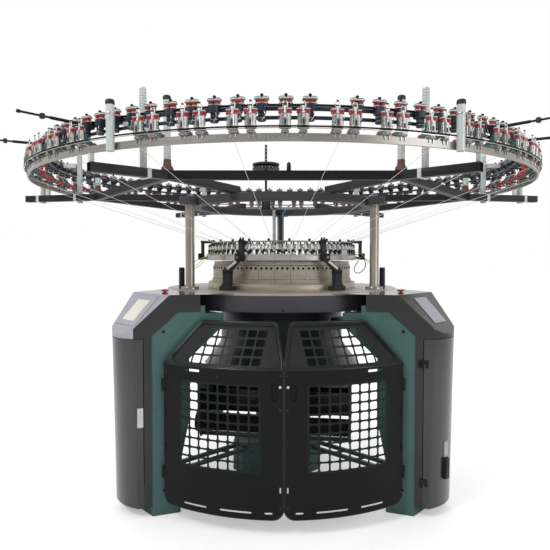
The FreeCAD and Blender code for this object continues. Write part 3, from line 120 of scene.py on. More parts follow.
M = {
    "teal": material("teal_paint", (0.062, 0.142, 0.132), 0.4, bump=0.08, bump_scale=180, coat=0.12,
                     dust=0.06, spec=0.3),
    "hood": material("graphite_paint", (0.026, 0.025, 0.0255), 0.22, vary=0.08, scale=3, bump=0.03,
                     bump_scale=220, coat=0.35, rough_vary=0.05, dust=0.03, spec=0.3),
    "fascia": material("fascia_paint", (0.066, 0.063, 0.075), 0.34, bump_scale=150, coat=0.1, spec=0.3),
    "gate": material("gate_lower", (0.0085, 0.009, 0.0095), 0.42, bump=0.1, bump_scale=260,
                     dust=0.02, spec=0.15),
    "gate_top": material("gate_upper", (0.02, 0.02, 0.022), 0.44, bump=0.1, bump_scale=260,
                         dust=0.03, spec=0.2),
    "gate_rim": material("gate_rim", (0.01, 0.0105, 0.011), 0.26, bump=0.06, bump_scale=200,
                         coat=0.25, spec=0.3),
    "bar": material("grille_bars", (0.012, 0.0125, 0.013), 0.42, bump=0.08, bump_scale=300, spec=0.2),
    "black": material("black_tube", (0.012, 0.012, 0.015), 0.4, bump_scale=120, dust=0.06, spec=0.25),
    "arm": material("arm_tube", (0.02, 0.02, 0.023), 0.42, bump_scale=120, dust=0.08, spec=0.3),
    "cast": material("cast_plate", (0.05, 0.051, 0.053), 0.5, bump=0.22, bump_scale=90, dust=0.1, spec=0.3),
    "bracket": material("bracket_paint", (0.026, 0.026, 0.029), 0.42, bump=0.15, bump_scale=110, spec=0.3),
    "steel": material("turned_steel", (0.37, 0.355, 0.325), 0.36, 0.8, 0.14, 9, (1, 1, 14), 0.05, 90),
    "beige": material("ground_steel", (0.48, 0.415, 0.335), 0.42, 0.45, 0.14, 7, (1, 1, 6), 0.05,
                      80, dust=0.08),
    "cam": material("cam_box_steel", (0.45, 0.4, 0.335), 0.44, 0.4, 0.16, 10, (1, 1, 5), 0.06, 90),
    "alu": material("ring_aluminium", (0.52, 0.5, 0.48), 0.3, 0.75, 0.1, 8, (1, 1, 10), 0.04, 100),
    "column": material("column_steel", (0.38, 0.355, 0.305), 0.3, 0.7, 0.14, 5, (3, 3, 0.6), 0.04, 90),
    "post": material("post_paint", (0.56, 0.6, 0.575), 0.36, 0.1, 0.1, 14, (1, 1, 0.4), 0.05, 70, coat=0.2),
    "white": material("white_clamp", (0.62, 0.63, 0.62), 0.42, vary=0.08, scale=20),
    "cap": material("cap_plastic", (0.022, 0.023, 0.025), 0.45, bump=0.08, spec=0.3),
    "rubber": material("black_rubber", (0.009, 0.009, 0.0095), 0.62, vary=0.2, bump=0.12,
                       bump_scale=140, spec=0.2),
    "plastic": material("black_plastic", (0.01, 0.01, 0.011), 0.36, vary=0.2, scale=30, spec=0.25),
    "red": material("red_plastic", (0.38, 0.018, 0.026), 0.34, vary=0.22, scale=30, bump=0.04, coat=0.2),
    "green": material("green_plastic", (0.04, 0.125, 0.105), 0.36, vary=0.25, scale=25, bump=0.04,
                      coat=0.1),
    "blue": material("blue_rail", (0.026, 0.033, 0.06), 0.36, 0.1, 0.2, 12, bump=0.04, spec=0.35),
    "dark": material("feeder_body", (0.03, 0.037, 0.052), 0.38, vary=0.3, scale=28, bump=0.06, spec=0.35),
    "silver": material("feeder_steel", (0.5, 0.5, 0.49), 0.28, 0.8, 0.15, 30, bump=0.03),
    "pale": material("pale_bracket", (0.58, 0.575, 0.55), 0.4, 0.2, 0.12, 30, bump=0.03),
    "lavender": material("console_bezel", (0.4, 0.39, 0.45), 0.4, vary=0.06, scale=12, bump=0.04,
                         bump_scale=200),
    "screen": material("screen_glass", (0.74, 0.73, 0.64), 0.16, vary=0.05, scale=5, bump=0.0,
                       coat=0.6, glow=0.12),
    "plate": material("console_plate", (0.44, 0.44, 0.47), 0.38, vary=0.08, scale=12, bump=0.04),
    "button": material("stop_red", (0.6, 0.015, 0.015), 0.25, vary=0.1, scale=30, bump=0.02, coat=0.5),
    "chrome": material("latch_chrome", (0.6, 0.6, 0.61), 0.18, 0.9, 0.08, 20, bump=0.02),
    "gear": material("gear_steel", (0.26, 0.25, 0.24), 0.36, 0.9, 0.15, 20),
    "motor": material("motor_paint", (0.085, 0.1, 0.115), 0.45, vary=0.15, bump=0.1, spec=0.35),
    "skirt": material("skirt_paint", (0.03, 0.041, 0.043), 0.34, vary=0.15, coat=0.1, dust=0.05, spec=0.35),
    "panel": material("takedown_cover", (0.01, 0.0105, 0.012), 0.24, vary=0.15, bump=0.02,
                      coat=0.2, spec=0.3),
    "frame": material("takedown_paint", (0.034, 0.082, 0.078), 0.4, vary=0.15, bump=0.1, dust=0.08,
                      spec=0.35),
    "cream": material("spreader_cream", (0.6, 0.56, 0.46), 0.42, vary=0.1, scale=10),
    "yarn": material("yarn_white", (0.93, 0.93, 0.91), 0.8, vary=0.06, scale=200, bump=0.3, bump_scale=900),
    "rust": material("stained_brown", (0.13, 0.07, 0.048), 0.7, 0.1, 0.35, 40, bump=0.3, bump_scale=160),
    "foot": material("feeder_foot", (0.26, 0.25, 0.235), 0.42, 0.3, 0.15, 30),
    "door": material("door_paint", (0.026, 0.025, 0.0255), 0.24, vary=0.08, scale=3, bump=0.02,
                     bump_scale=220, coat=0.9, rough_vary=0.05, dust=0.03, spec=0.4),
    "ceramic": material("ceramic_eyelet", (0.78, 0.78, 0.75), 0.22, vary=0.04, scale=30, bump=0.01,
                        coat=0.5),
    "wire": material("yellow_green_wire", (0.44, 0.55, 0.12), 0.45, vary=0.15, scale=40, bump=0.03),
    "wire_blue": material("pale_blue_wire", (0.16, 0.32, 0.56), 0.45, vary=0.15, scale=40, bump=0.03),
}


# ---- mesh kit
OUTWARD = Matrix.Rotation(math.radians(90), 4, "X")
SIDEWAYS = Matrix.Rotation(math.radians(90), 4, "Y")
MILLIMETRES = Matrix.Scale(0.001, 4)
OPEN = (False, False)
SHARP_ANGLE = math.radians(38)
MERGE, NODE_MERGE = 0.00001, 0.00002


def at(x=0.0, y=0.0, z=0.0, turn=0.0):
    """A move, and then a turn about the machine's axis."""
    return Matrix.Rotation(math.radians(turn), 4, "Z") @ Matrix.Translation((x, y, z))


def polar(radius, azimuth, z=0.0):
    a = math.radians(azimuth)
    return Vector((radius * math.sin(a), -radius * math.cos(a), z))


def circle(sides):
    return [(math.cos(TAU * k / sides), math.sin(TAU * k / sides)) for k in range(sides)]


def slab(r0, r1, z0, z1, c, d=None):
    """Section of a flat ring, its corners cut by c across and d up."""
    d = d or c
    return [(r0, z0 + d), (r0 + c, z0), (r1 - c, z0), (r1, z0 + d),
            (r1, z1 - d), (r1 - c, z1), (r0 + c, z1), (r0, z1 - d)]


class Kit:
    """Vertices and faces of one piece, each face with its material."""

    def __init__(self):
        self.verts, self.faces, self.looks, self.smooth = [], [], [], []

    def add(self, verts, faces, look, smooth=False, place=None):
        base = len(self.verts)
        self.verts += [tuple(place @ Vector(v)) if place is not None else tuple(v) for v in verts]
        self.faces += [tuple(base + i for i in f) for f in faces]
        self.looks += [look] * len(faces)
        self.smooth += [smooth] * len(faces)

    def copy(self, other, place):
        base = len(self.verts)
        self.verts += [tuple(place @ Vector(v)) for v in other.verts]
        self.faces += [tuple(base + i for i in f) for f in other.faces]
        self.looks += other.looks
        self.smooth += other.smooth
        return self

    def loft(self, loops, look, smooth=False, place=None, ends=(True, True), closed=True):
        """Surface through loops with the same number of points."""
        n = len(loops[0])
        verts = [p for loop in loops for p in loop]
        faces = []
        for k in range(len(loops) - 1):
            for i in range(n if closed else n - 1):
                j = (i + 1) % n
                faces.append((k * n + i, k * n + j, (k + 1) * n + j, (k + 1) * n + i))
        self.add(verts, faces, look, smooth, place)
        caps = []
        if ends[0]:
            caps.append(tuple(range(n))[::-1])
        if ends[1]:
            caps.append(tuple((len(loops) - 1) * n + i for i in range(n)))
        if caps:
            self.add(verts, caps, look, False, place)

    def box(self, x0, x1, y0, y1, z0, z1, look, place=None, soft=0.0):
        """Box, with chamfered edges where soft is given."""
        if not soft:
            self.prism([(x0, y0), (x1, y0), (x1, y1), (x0, y1)], z0, z1, look, place)
            return
        s = min(soft, (x1 - x0) / 3, (y1 - y0) / 3, (z1 - z0) / 3)
        loops = []
        for inset, z in ((s * 0.7, z0), (0, z0 + s), (0, z1 - s), (s * 0.7, z1)):
            a, b, c, d = x0 + inset, x1 - inset, y0 + inset, y1 - inset
            loops.append([(a + s, c, z), (b - s, c, z), (b, c + s, z), (b, d - s, z),
                          (b - s, d, z), (a + s, d, z), (a, d - s, z), (a, c + s, z)])
        self.loft(loops, look, place=place)

    def blocks(self, place, *rows):
        """Boxes across -Y: half width, near and far side, bottom, top, look and chamfer."""
        for half, near, far, z0, z1, look, soft in rows:
            self.box(-half, half, -far, -near, z0, z1, look, place, soft)

    def lathe(self, profile, look, sides=24, place=None, smooth=True, ends=(True, True)):
        """Surface of revolution of (radius, z) points about Z."""
        loops = [[(r * c, r * s, z) for c, s in circle(sides)] for r, z in profile]
        self.loft(loops, look, smooth, place, ends)

    def ring(self, profile, look, sides, place=None):
        """Closed ring whose section is the closed outline of (radius, z) points."""
        self.lathe([*profile, profile[0]], look, sides, place, ends=OPEN)

    def knuckle(self, pin, radius, z0, z1, place):
        """Hinge knuckle round a pin."""
        c = 0.0005
        self.ring([(pin, z0), (radius - c, z0), (radius, z0 + c), (radius, z1 - c), (radius - c, z1),
                   (pin, z1)], "plastic", 20, place)

    def tube(self, points, radius, look, sides=8):
        """Round bar along points, each of which may carry its own radius."""
        loops = []
        points = [Vector(p) for p in points]
        for k, p in enumerate(points):
            along = (points[min(k + 1, len(points) - 1)] - points[max(k - 1, 0)]).normalized()
            side = along.cross(Vector((0, 0, 1)))
            if side.length < 0.05:
                side = along.cross(Vector((1, 0, 0)))
            side.normalize()
            up = side.cross(along)
            r = radius[k] if isinstance(radius, (list, tuple)) else radius
            loops.append([p + side * (r * c) + up * (r * s) for c, s in circle(sides)])
        self.loft(loops, look, True)

    def prism(self, plan, z0, z1, look, place=None):
        self.loft([[(x, y, z) for x, y in plan] for z in (z0, z1)], look, place=place)

    def build(self, name, body=BODY, replaces=(), bevel=0.0, angle=35):
        """Make the piece, give it its materials and let it ride on its body."""
        mesh = bpy.data.meshes.new(name)
        mesh.from_pydata(self.verts, [], self.faces)
        names = sorted(set(self.looks))
        for look in names:
            mesh.materials.append(M[look])
        mesh.polygons.foreach_set("material_index", [names.index(x) for x in self.looks])
        mesh.polygons.foreach_set("use_smooth", self.smooth)
        edit = bmesh.new()
        edit.from_mesh(mesh)
        bmesh.ops.remove_doubles(edit, verts=edit.verts, dist=MERGE)
        bmesh.ops.recalc_face_normals(edit, faces=edit.faces)
        for edge in edit.edges:
            if len(edge.link_faces) == 2 and edge.calc_face_angle(0) > SHARP_ANGLE:
                edge.smooth = False
        edit.to_mesh(mesh)
        edit.free()
        piece = bpy.data.objects.new(name, mesh)
        bpy.context.scene.collection.objects.link(piece)
        if bevel:
            soften(piece, bevel, 1, angle)
        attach(piece, body)
        if replaces:
            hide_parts(*replaces)
        return piece


def soften(piece, width, segments, angle):
    """Rounded edges with even shading."""
    edges = piece.modifiers.new("edges", "BEVEL")
    edges.width = width
    edges.segments = segments
    edges.limit_method = "ANGLE"
    edges.angle_limit = math.radians(angle)
    edges.harden_normals = True


# ---- CAD nodes that stay
def dress(name, look, width):
    """Give a CAD node its finish, and rounded edges where width is given."""
    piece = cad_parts[name]
    piece.data.materials.clear()
    piece.data.materials.append(M[look])
    if width:
        weld = piece.modifiers.new("weld", "WELD")
        weld.merge_threshold = NODE_MERGE
        soften(piece, width, 2, 30)


def dress_nodes():
    for look, width, names in (
            ("teal", 0.004, "base_hub"), ("teal", 0.003, "leg_left leg_right leg_rear"),
            ("frame", 0.002, "base_tie_bars takedown_frame"), ("black", 0.004, "frame_beams"),
            ("arm", 0.003, "frame_arms"), ("plastic", 0.001, "hood_hinge_pins gate_hinge_pins"),
            ("panel", 0.001, "takedown_panel"), ("gear", 0.0008, "main_gear pinion_shaft"),
            ("rubber", 0.0, "drive_belt"), ("gear", 0.001, "drive_pulley motor_pulley"),
            ("motor", 0.003, "motor"), ("white", 0.0015, "ring_brackets"),
            ("lavender", 0.0012, "console_plates"), ("screen", 0.0008, "control_screen"),
            ("blue", 0.0, "conduit"), ("plastic", 0.0, "guide_rods"),
            ("chrome", 0.001, "door_latch_left door_latch_right door_latch_rear")):
        for name in names.split():
            dress(name, look, width)


# ---- camera, light and floor
CAMERA_PLACE, CAMERA_DOWN, LENS = (-0.042, -3.5, 1.31), 1.909, 35.35
FRONT_LIGHT, BACK_LIGHT = 0.5, 0.95
FLOOR_HALF, FLOOR_LIFT = 60, 0.34


def camera():
    data = bpy.data.cameras.new("camera")
    data.lens = LENS
    data.sensor_width = 36
    eye = bpy.data.objects.new("camera", data)
    eye.location = CAMERA_PLACE
    eye.rotation_euler = (math.radians(90 - CAMERA_DOWN), 0, 0)
    bpy.context.scene.collection.objects.link(eye)
    bpy.context.scene.camera = eye


def area(name, location, target, size, power):
    data = bpy.data.lights.new(name, "AREA")
    data.shape = "DISK"
    data.size = size
    data.energy = power
    lamp = bpy.data.objects.new(name, data)
    lamp.location = location
    lamp.rotation_euler = (Vector(target) - Vector(location)).to_track_quat("-Z", "Y").to_euler()
    bpy.context.scene.collection.objects.link(lamp)


def studio():
    """White room whose light comes mostly from behind the machine and above."""
    world = bpy.data.worlds.new("studio")
    world.use_nodes = True
    tree = world.node_tree
    background = tree.nodes["Background"]
    background.inputs["Color"].default_value = (1, 1, 1, 1)
    place = node(tree, "ShaderNodeTexCoord")
    split = node(tree, "ShaderNodeSeparateXYZ")
    amount = node(tree, "ShaderNodeMapRange", From_Min=-0.6, From_Max=0.5, To_Min=FRONT_LIGHT,
                  To_Max=BACK_LIGHT)
    path = node(tree, "ShaderNodeLightPath")
    seen = node(tree, "ShaderNodeMix", B=1.0)
    join(tree, (place, "Generated", split, "Vector"), (split, "Y", amount, "Value"),
         (path, "Is Camera Ray", seen, "Factor"), (amount, "Result", seen, "A"),
         (seen, "Result", background, "Strength"))
    bpy.context.scene.world = world
    bpy.context.scene.view_settings.view_transform = "Standard"
    area("key", (-2.8, -3.6, 4.6), (0, 0, 1.1), 1.6, 95)
    area("fill", (3.6, -3.4, 2.6), (0, 0, 1.0), 2.2, 40)
    area("back", (0.5, 4.2, 4.4), (0, 0, 1.3), 3.0, 50)


def floor():
    """Pale floor, whiter to the camera alone."""
    mesh = bpy.data.meshes.new("floor")
    e = FLOOR_HALF
    mesh.from_pydata([(-e, -e, 0), (e, -e, 0), (e, e, 0), (-e, e, 0)], [], [(0, 1, 2, 3)])
    piece = bpy.data.objects.new("floor", mesh)
    paint = material("pale_floor", (0.9, 0.9, 0.9), 0.7, vary=0.01, scale=2, bump=0.0, spec=0.1)
    tree = paint.node_tree
    shader = tree.nodes["Principled BSDF"]
    path = node(tree, "ShaderNodeLightPath")
    lift = product(tree)
    lift.inputs[1].default_value = FLOOR_LIFT
    join(tree, (path, "Is Camera Ray", lift, 0), (lift, 0, shader, "Emission Strength"))
    shader.inputs["Emission Color"].default_value = (1, 1, 1, 1)
    mesh.materials.append(paint)
    bpy.context.scene.collection.objects.link(piece)


# ---- bed, columns and top plate
BED_R, BED_LOW, BED_RIM, BED_TOP = 0.723, 1.020, 1.108, 1.120
BASE_IN = 0.391
TOP_LOW, TOP_HIGH = 1.618, 1.662
COLUMN_CIRCLE, COLUMN_AZIMUTHS = 0.627, (-60.0, 60.0, 180.0)


def bed():
    kit = Kit()
    kit.ring([(0.375, BED_LOW), (BED_R - 0.004, BED_LOW), (BED_R, BED_LOW + 0.004),
              (BED_R, BED_RIM - 0.002), (BED_R - 0.002, BED_RIM), (0.705, BED_RIM), (0.703, BED_RIM - 0.004),
              (0.703, 1.034), (0.375, 1.034), (0.375, 1.048), (0.345, 1.048), (0.345, BED_LOW)],
             "fascia", 120)
    for azimuth in (-60, 60, 180, -28, 28, 0, 120, -120):
        kit.lathe([(0.006, -0.006), (0.006, 0.001), (0.004, 0.003)], "plastic", 12,
                  at(0, -BED_R, 1.034, azimuth) @ OUTWARD)
    kit.build("bed_casting", replaces=["bed_ring"])
    kit = Kit()
    kit.ring([(BASE_IN, BED_RIM), (BED_R - 0.001, BED_RIM), (BED_R, BED_RIM + 0.002),
              (BED_R, BED_TOP - 0.003), (BED_R - 0.003, BED_TOP), (BASE_IN, BED_TOP)], "beige", 120)
    kit.build("bed_top_plate", replaces=["bed_plate"])


def columns():
    kit = Kit()
    for azimuth in COLUMN_AZIMUTHS:
        p = polar(COLUMN_CIRCLE, azimuth)
        kit.lathe([(0.052, BED_TOP), (0.052, 1.132), (0.049, 1.137), (0.0285, 1.138), (0.0275, 1.144),
                   (0.0265, 1.147), (0.0265, TOP_LOW)], "column", 40, at(p.x, p.y))
        for k in range(6):
            q = p + polar(0.042, azimuth + 60 * k + 30)
            kit.lathe([(0.005, 1.136), (0.005, 1.1375), (0.0035, 1.1378)], "plastic", 10, at(q.x, q.y))
    kit.build("round_columns", replaces=["columns"])


def top_plate():
    kit = Kit()
    kit.ring(slab(0.515, 0.6, TOP_LOW, TOP_HIGH, 0.002), "cast", 120)
    for azimuth in COLUMN_AZIMUTHS:
        p = polar(COLUMN_CIRCLE, azimuth)
        kit.lathe([(0.058, TOP_LOW), (0.06, TOP_LOW + 0.002), (0.06, TOP_HIGH - 0.002), (0.058, TOP_HIGH)],
                  "cast", 40, at(p.x, p.y))
        kit.lathe([(0.02, TOP_HIGH), (0.02, TOP_HIGH + 0.01), (0.016, TOP_HIGH + 0.013)], "gear", 6,
                  at(p.x, p.y), smooth=False)
    kit.build("top_ring", replaces=["top_plate"])


# ---- knitting head
CAM_BOXES, CAM_RADIUS, CAM_GAP = 30, 0.44, 0.0009
GUIDES = 72
CYLINDER_LOW, CYLINDER_HIGH, GROOVES = 1.0786, 1.2846, 180


def head():
    """Cam base ring, cam boxes, sinker ring and guide ring."""
    kit = Kit()
    kit.ring([(BASE_IN, BED_TOP), (0.47, BED_TOP), (0.47, 1.152), (0.467, 1.156), (0.462, 1.158),
              (BASE_IN, 1.158)], "beige", 120)
    kit.build("cam_ring_base", replaces=["cam_base_ring"])
    kit = Kit()
    half = math.pi / CAM_BOXES
    side = half - CAM_GAP / CAM_RADIUS
    section = ((0.444, 1.158), (0.444, 1.178), (0.4425, 1.1795), (0.435, 1.18), (0.435, 1.183),
               (0.4385, 1.184), (0.4385, 1.256), (0.437, 1.26), (0.433, 1.264), (0.433, 1.282),
               (BASE_IN, 1.282), (BASE_IN, 1.158))
    for k in range(CAM_BOXES):
        turn = k * 360 / CAM_BOXES
        kit.loft([[(r * math.sin(a), -r * math.cos(a), z) for r, z in section]
                  for a in (-side, -half / 2, 0, half / 2, side)], "cam", False, at(turn=turn))
        for j in (-1, 0, 1):
            hole = at(0, -0.4384, 1.245, turn + 3.7 * j) @ OUTWARD
            kit.lathe([(0.0096, -0.002), (0.0096, 0.001), (0.008, 0.0014), (0.0078, 0.0002)],
                      "silver", 18, hole)
            kit.lathe([(0.0078, -0.001), (0.0078, 0.0005), (0.003, 0.0008)], "rubber", 18, hole)
        for x in (-0.03, 0.03):
            for screw, radius, z in ((0.0028, 0.4375, 1.2), (0.0032, 0.443, 1.168)):
                kit.lathe([(screw, -0.002), (screw, 0.0012), (0.0018, 0.0016)], "gear", 8,
                          at(x, -radius, z, turn) @ OUTWARD)
    kit.build("cam_box_ring", replaces=["cam_boxes"])
    kit = Kit()
    kit.ring([(0.366, 1.29), (0.478, 1.29), (0.48, 1.292), (0.48, 1.318), (0.478, 1.32), (0.462, 1.32),
              (0.46, 1.317), (0.366, 1.317)], "alu", 120)
    for k in range(36):
        kit.lathe([(0.0035, -0.001), (0.0035, 0.0008), (0.002, 0.0012)], "gear", 8,
                  at(0, -0.48, 1.305, k * 10 + 5) @ OUTWARD)
    kit.build("sinker_cap_ring", replaces=["sinker_ring"])
    kit = Kit()
    kit.ring([(0.445, 1.395), (0.4525, 1.395), (0.453, 1.3965), (0.453, 1.4018), (0.4525, 1.403),
              (0.445, 1.403)], "gear", 120)
    for k in range(24):
        kit.lathe([(0.005, 1.4025), (0.0075, 1.404), (0.0075, 1.412), (0.004, 1.416)], "plastic", 10,
                  at(0, -0.449, 0, k * 15 + 5))
    kit.build("yarn_guide_ring", replaces=["guide_ring"])


def sinker_brackets():
    """Brackets that carry the sinker ring, and the two at the sides that hold the guide ring."""
    kit = Kit()
    for side, foot_az, top_az in ((-1, -36, -29.4), (-1, -144, -150.6), (1, 36, 29.4), (1, 144, 150.6)):
        foot, top = at(turn=foot_az), at(turn=top_az)
        kit.blocks(foot, (0.047, 0.5, 0.556, 1.12, 1.146, "bracket", 0.005),
                   (0.034, 0.506, 0.55, 1.144, 1.158, "bracket", 0.004),
                   (0.026, 0.512, 0.546, 1.15, 1.232, "bracket", 0.003))
        for x in (-0.038, 0.038):
            kit.lathe([(0.0065, 1.146), (0.0065, 1.152), (0.004, 1.154)], "gear", 6, foot @ at(x, -0.53),
                      smooth=False)
        low, bend, high = [[place @ Vector((x, -r, z)) for x, r, z in (
            (-half, far, z0), (half, far, z0), (half, near, z1), (-half, near, z1))]
            for place, half, near, far, z0, z1 in ((foot, 0.026, 0.512, 0.546, 1.214, 1.214),
                                                   (foot, 0.026, 0.512, 0.546, 1.236, 1.236),
                                                   (top, 0.016, 0.486, 0.512, 1.292, 1.3))]
        kit.loft([low, bend, high], "bracket")
        a, b = bend[0].lerp(bend[1], 0.5), high[0].lerp(high[1], 0.5)
        out = polar(0.0035, (foot_az + top_az) / 2)
        cross = (b - a).normalized().cross(out).normalized() * 0.007
        strip = [a.lerp(b, share) + out + cross * sign
                 for share, sign in ((0.12, -1), (0.12, 1), (0.86, 1), (0.86, -1))]
        kit.loft([[p - out * 2 for p in strip], strip], "white")
        kit.lathe([(0.0085, 0), (0.0085, 0.003), (0.0045, 0.003), (0.0045, 0.0015)], "gear", 12,
                  top @ at(side * 0.004, -0.514, 1.308) @ OUTWARD)
        kit.blocks(top, (0.024, 0.476, 0.514, 1.286, 1.33, "plastic", 0.004),
                   (0.014, 0.462, 0.486, 1.326, 1.412, "bracket", 0.003),
                   (0.018, 0.4535, 0.488, 1.388, 1.406, "plastic", 0.003))
        for x in (-0.009, 0.009):
            kit.lathe([(0.0055, 1.405), (0.006, 1.413), (0.0055, 1.42), (0.003, 1.423)], "plastic", 10,
                      top @ at(x, -0.472))
    for azimuth in (-92.0, 92.0):
        place = at(turn=azimuth)
        kit.blocks(place, (0.015, 0.48, 0.541, 1.296, 1.312, "plastic", 0.003),
                   (0.018, 0.51, 0.541, 1.292, 1.334, "plastic", 0.004),
                   (0.012, 0.502, 0.522, 1.312, 1.416, "bracket", 0.003),
                   (0.012, 0.4535, 0.524, 1.398, 1.414, "bracket", 0.003))
        kit.lathe([(0.0055, 1.414), (0.006, 1.42), (0.003, 1.424)], "plastic", 10, place @ at(0, -0.47))
    kit.build("ring_brackets_cast", replaces=["sinker_brackets"], bevel=0.001)


def yarn_guides():
    """Fingers with their ceramic guides, from the sinker ring up to the guide ring."""
    finger = Kit()
    for box, look, soft in (((-0.015, 0.015, -0.47, -0.456, 1.32, 1.3262), "pale", 0.002),
                            ((-0.011, 0.0075, -0.4715, -0.458, 1.339, 1.354), "plastic", 0.002),
                            ((-0.011, -0.0035, -0.4715, -0.458, 1.3255, 1.34), "plastic", 0.002),
                            ((0.002, 0.014, -0.468, -0.458, 1.3255, 1.337), "ceramic", 0.003),
                            ((-0.0012, 0.0012, -0.469, -0.456, 1.3545, 1.388), "blue", 0)):
        finger.box(*box, look, soft=soft)
    for x, width, look in ((-0.0085, 0.0075, "ceramic"), (0.0085, 0.007, "silver")):
        loops = []
        for z, share, reach in ((1.3545, 0.8, 0.469), (1.36, 1.0, 0.47), (1.375, 1.0, 0.466),
                                (1.386, 0.62, 0.46)):
            x0, x1 = x - width * share, x + width * share
            loops.append([(x0, -reach, z), (x1, -reach, z), (x1, -0.453, z), (x0, -0.453, z)])
        finger.loft(loops, look)
    for x in (-0.0105, 0.004):
        finger.tube([(x, -0.4585, 1.384), (x * 0.9, -0.451, 1.39), (x * 0.9, -0.449, 1.396)],
                    (0.0045, 0.004, 0.004), "plastic", 7)
    kit = Kit()
    for k in range(GUIDES):
        kit.copy(finger, at(turn=(k + 0.5) * 360 / GUIDES))
    kit.build("yarn_guide_fingers", replaces=["yarn_guides"])


def cylinder():
    """Needle cylinder with its grooves outside and a smooth bore."""
    kit = Kit()
    outside, bore = (0.3795, 0.381), (0.341, 0.341)
    loops = [[polar(radii[k % 2], k * 180 / GROOVES, z) for k in range(2 * GROOVES)]
             for radii, z in ((outside, CYLINDER_LOW), (outside, CYLINDER_HIGH), (bore, CYLINDER_HIGH),
                              (bore, CYLINDER_LOW), (outside, CYLINDER_LOW))]
    kit.loft(loops, "steel", ends=OPEN)
    kit.build("grooved_cylinder", TAKEDOWN, ["needle_cylinder"])


# ---- take-down
TAKEDOWN_YAW = -9
ROLLER_END, ROLLER_GROOVES, SHAFT_R = 0.4415, 44, 0.0118


def takedown():
    """Skirt, spreader bar and grooved rollers."""
    kit = Kit()
    kit.ring([(0.488, 0.64), (0.488, 0.645), (0.47, 0.668), (0.44, 0.705), (0.412, 0.742), (0.396, 0.768),
              (0.389, 0.785), (0.388, 0.8), (0.388, 0.985), (0.384, 0.992), (0.334, 1.0), (0.33, 1.004),
              (0.33, 1.048), (0.326, 1.048), (0.326, 0.998), (0.38, 0.988), (0.384, 0.98), (0.384, 0.8),
              (0.385, 0.786), (0.392, 0.77), (0.408, 0.744), (0.436, 0.708), (0.466, 0.671), (0.484, 0.646),
              (0.484, 0.64)], "skirt", 120, at(turn=TAKEDOWN_YAW))
    for k in range(16):
        kit.lathe([(0.004, 0.3862), (0.004, 0.389), (0.0025, 0.39)], "gear", 10,
                  at(0, 0, 0.83, TAKEDOWN_YAW + k * 22.5) @ OUTWARD)
    kit.build("bell_skirt", TAKEDOWN, ["takedown_skirt"])
    kit = Kit()
    kit.lathe([(0.028, -ROLLER_END), (0.03, -0.438), (0.03, 0.438), (0.028, ROLLER_END)], "cream", 32,
              at(0, -0.3, 0.575, TAKEDOWN_YAW) @ SIDEWAYS)
    kit.build("spreader_roller", TAKEDOWN, ["spreader_bar"])
    for name, body, r, y, z, groove in (("winding_roller", "winding", 0.05, -0.38, 0.333, 0.0012),
                                        ("draw_roller_front", "draw_front", 0.028, -0.04, 0.47, 0.0005),
                                        ("draw_roller_rear", "draw_rear", 0.028, 0.0165, 0.47, 0.0005)):
        kit = Kit()
        end = [(SHAFT_R, 0.4515), (SHAFT_R, 0.4418), (r - 0.002, ROLLER_END), (r, 0.4395)]
        profile = [(radius, -x) for radius, x in end]
        for k in range(ROLLER_GROOVES):
            x = -0.43 + 0.86 * k / (ROLLER_GROOVES - 1)
            profile += [(r, x - 0.004), (r - groove, x - 0.002), (r - groove, x + 0.002), (r, x + 0.004)]
        kit.lathe(profile + end[::-1], "rubber", 32, at(0, y, z, TAKEDOWN_YAW) @ SIDEWAYS)
        kit.build("grooved_" + name, body, [name])


# ---- pierced sheets
def inside(x, z, outline):
    odd = False
    for k, (x1, z1) in enumerate(outline):
        x0, z0 = outline[k - 1]
        if (z0 > z) != (z1 > z) and x < (x1 - x0) * (z - z0) / (z1 - z0) + x0:
            odd = not odd
    return odd


def rounded(corners, radius, steps=3):
    """Outline with its corners rounded; a corner may carry its own radius."""
    points = []
    count = len(corners)
    for k, corner in enumerate(corners):
        here = Vector(corner[:2])
        r = corner[2] if len(corner) > 2 else radius
        if r <= 0:
            points.append(tuple(here))
            continue
        before = (Vector(corners[k - 1][:2]) - here).normalized()
        after = (Vector(corners[(k + 1) % count][:2]) - here).normalized()
        half = before.angle(after) / 2
        centre = here + (before + after).normalized() * (r / math.sin(half))
        start = here + before * (r / math.tan(half)) - centre
        end = here + after * (r / math.tan(half)) - centre
        for j in range(steps + 1):
            points.append(tuple(centre + start.lerp(end, j / steps).normalized() * r))
    return points


def rectangle(x0, x1, z0, z1, radius):
    return rounded([(x0, z0), (x1, z0), (x1, z1), (x0, z1)], radius)


def divided(outline, step):
    """Outline with no part longer than the step across."""
    points = []
    for k, (x0, z0) in enumerate(outline):
        x1, z1 = outline[(k + 1) % len(outline)]
        count = max(1, math.ceil(abs(x1 - x0) / step))
        points += [(x0 + (x1 - x0) * j / count, z0 + (z1 - z0) * j / count) for j in range(count)]
    return points


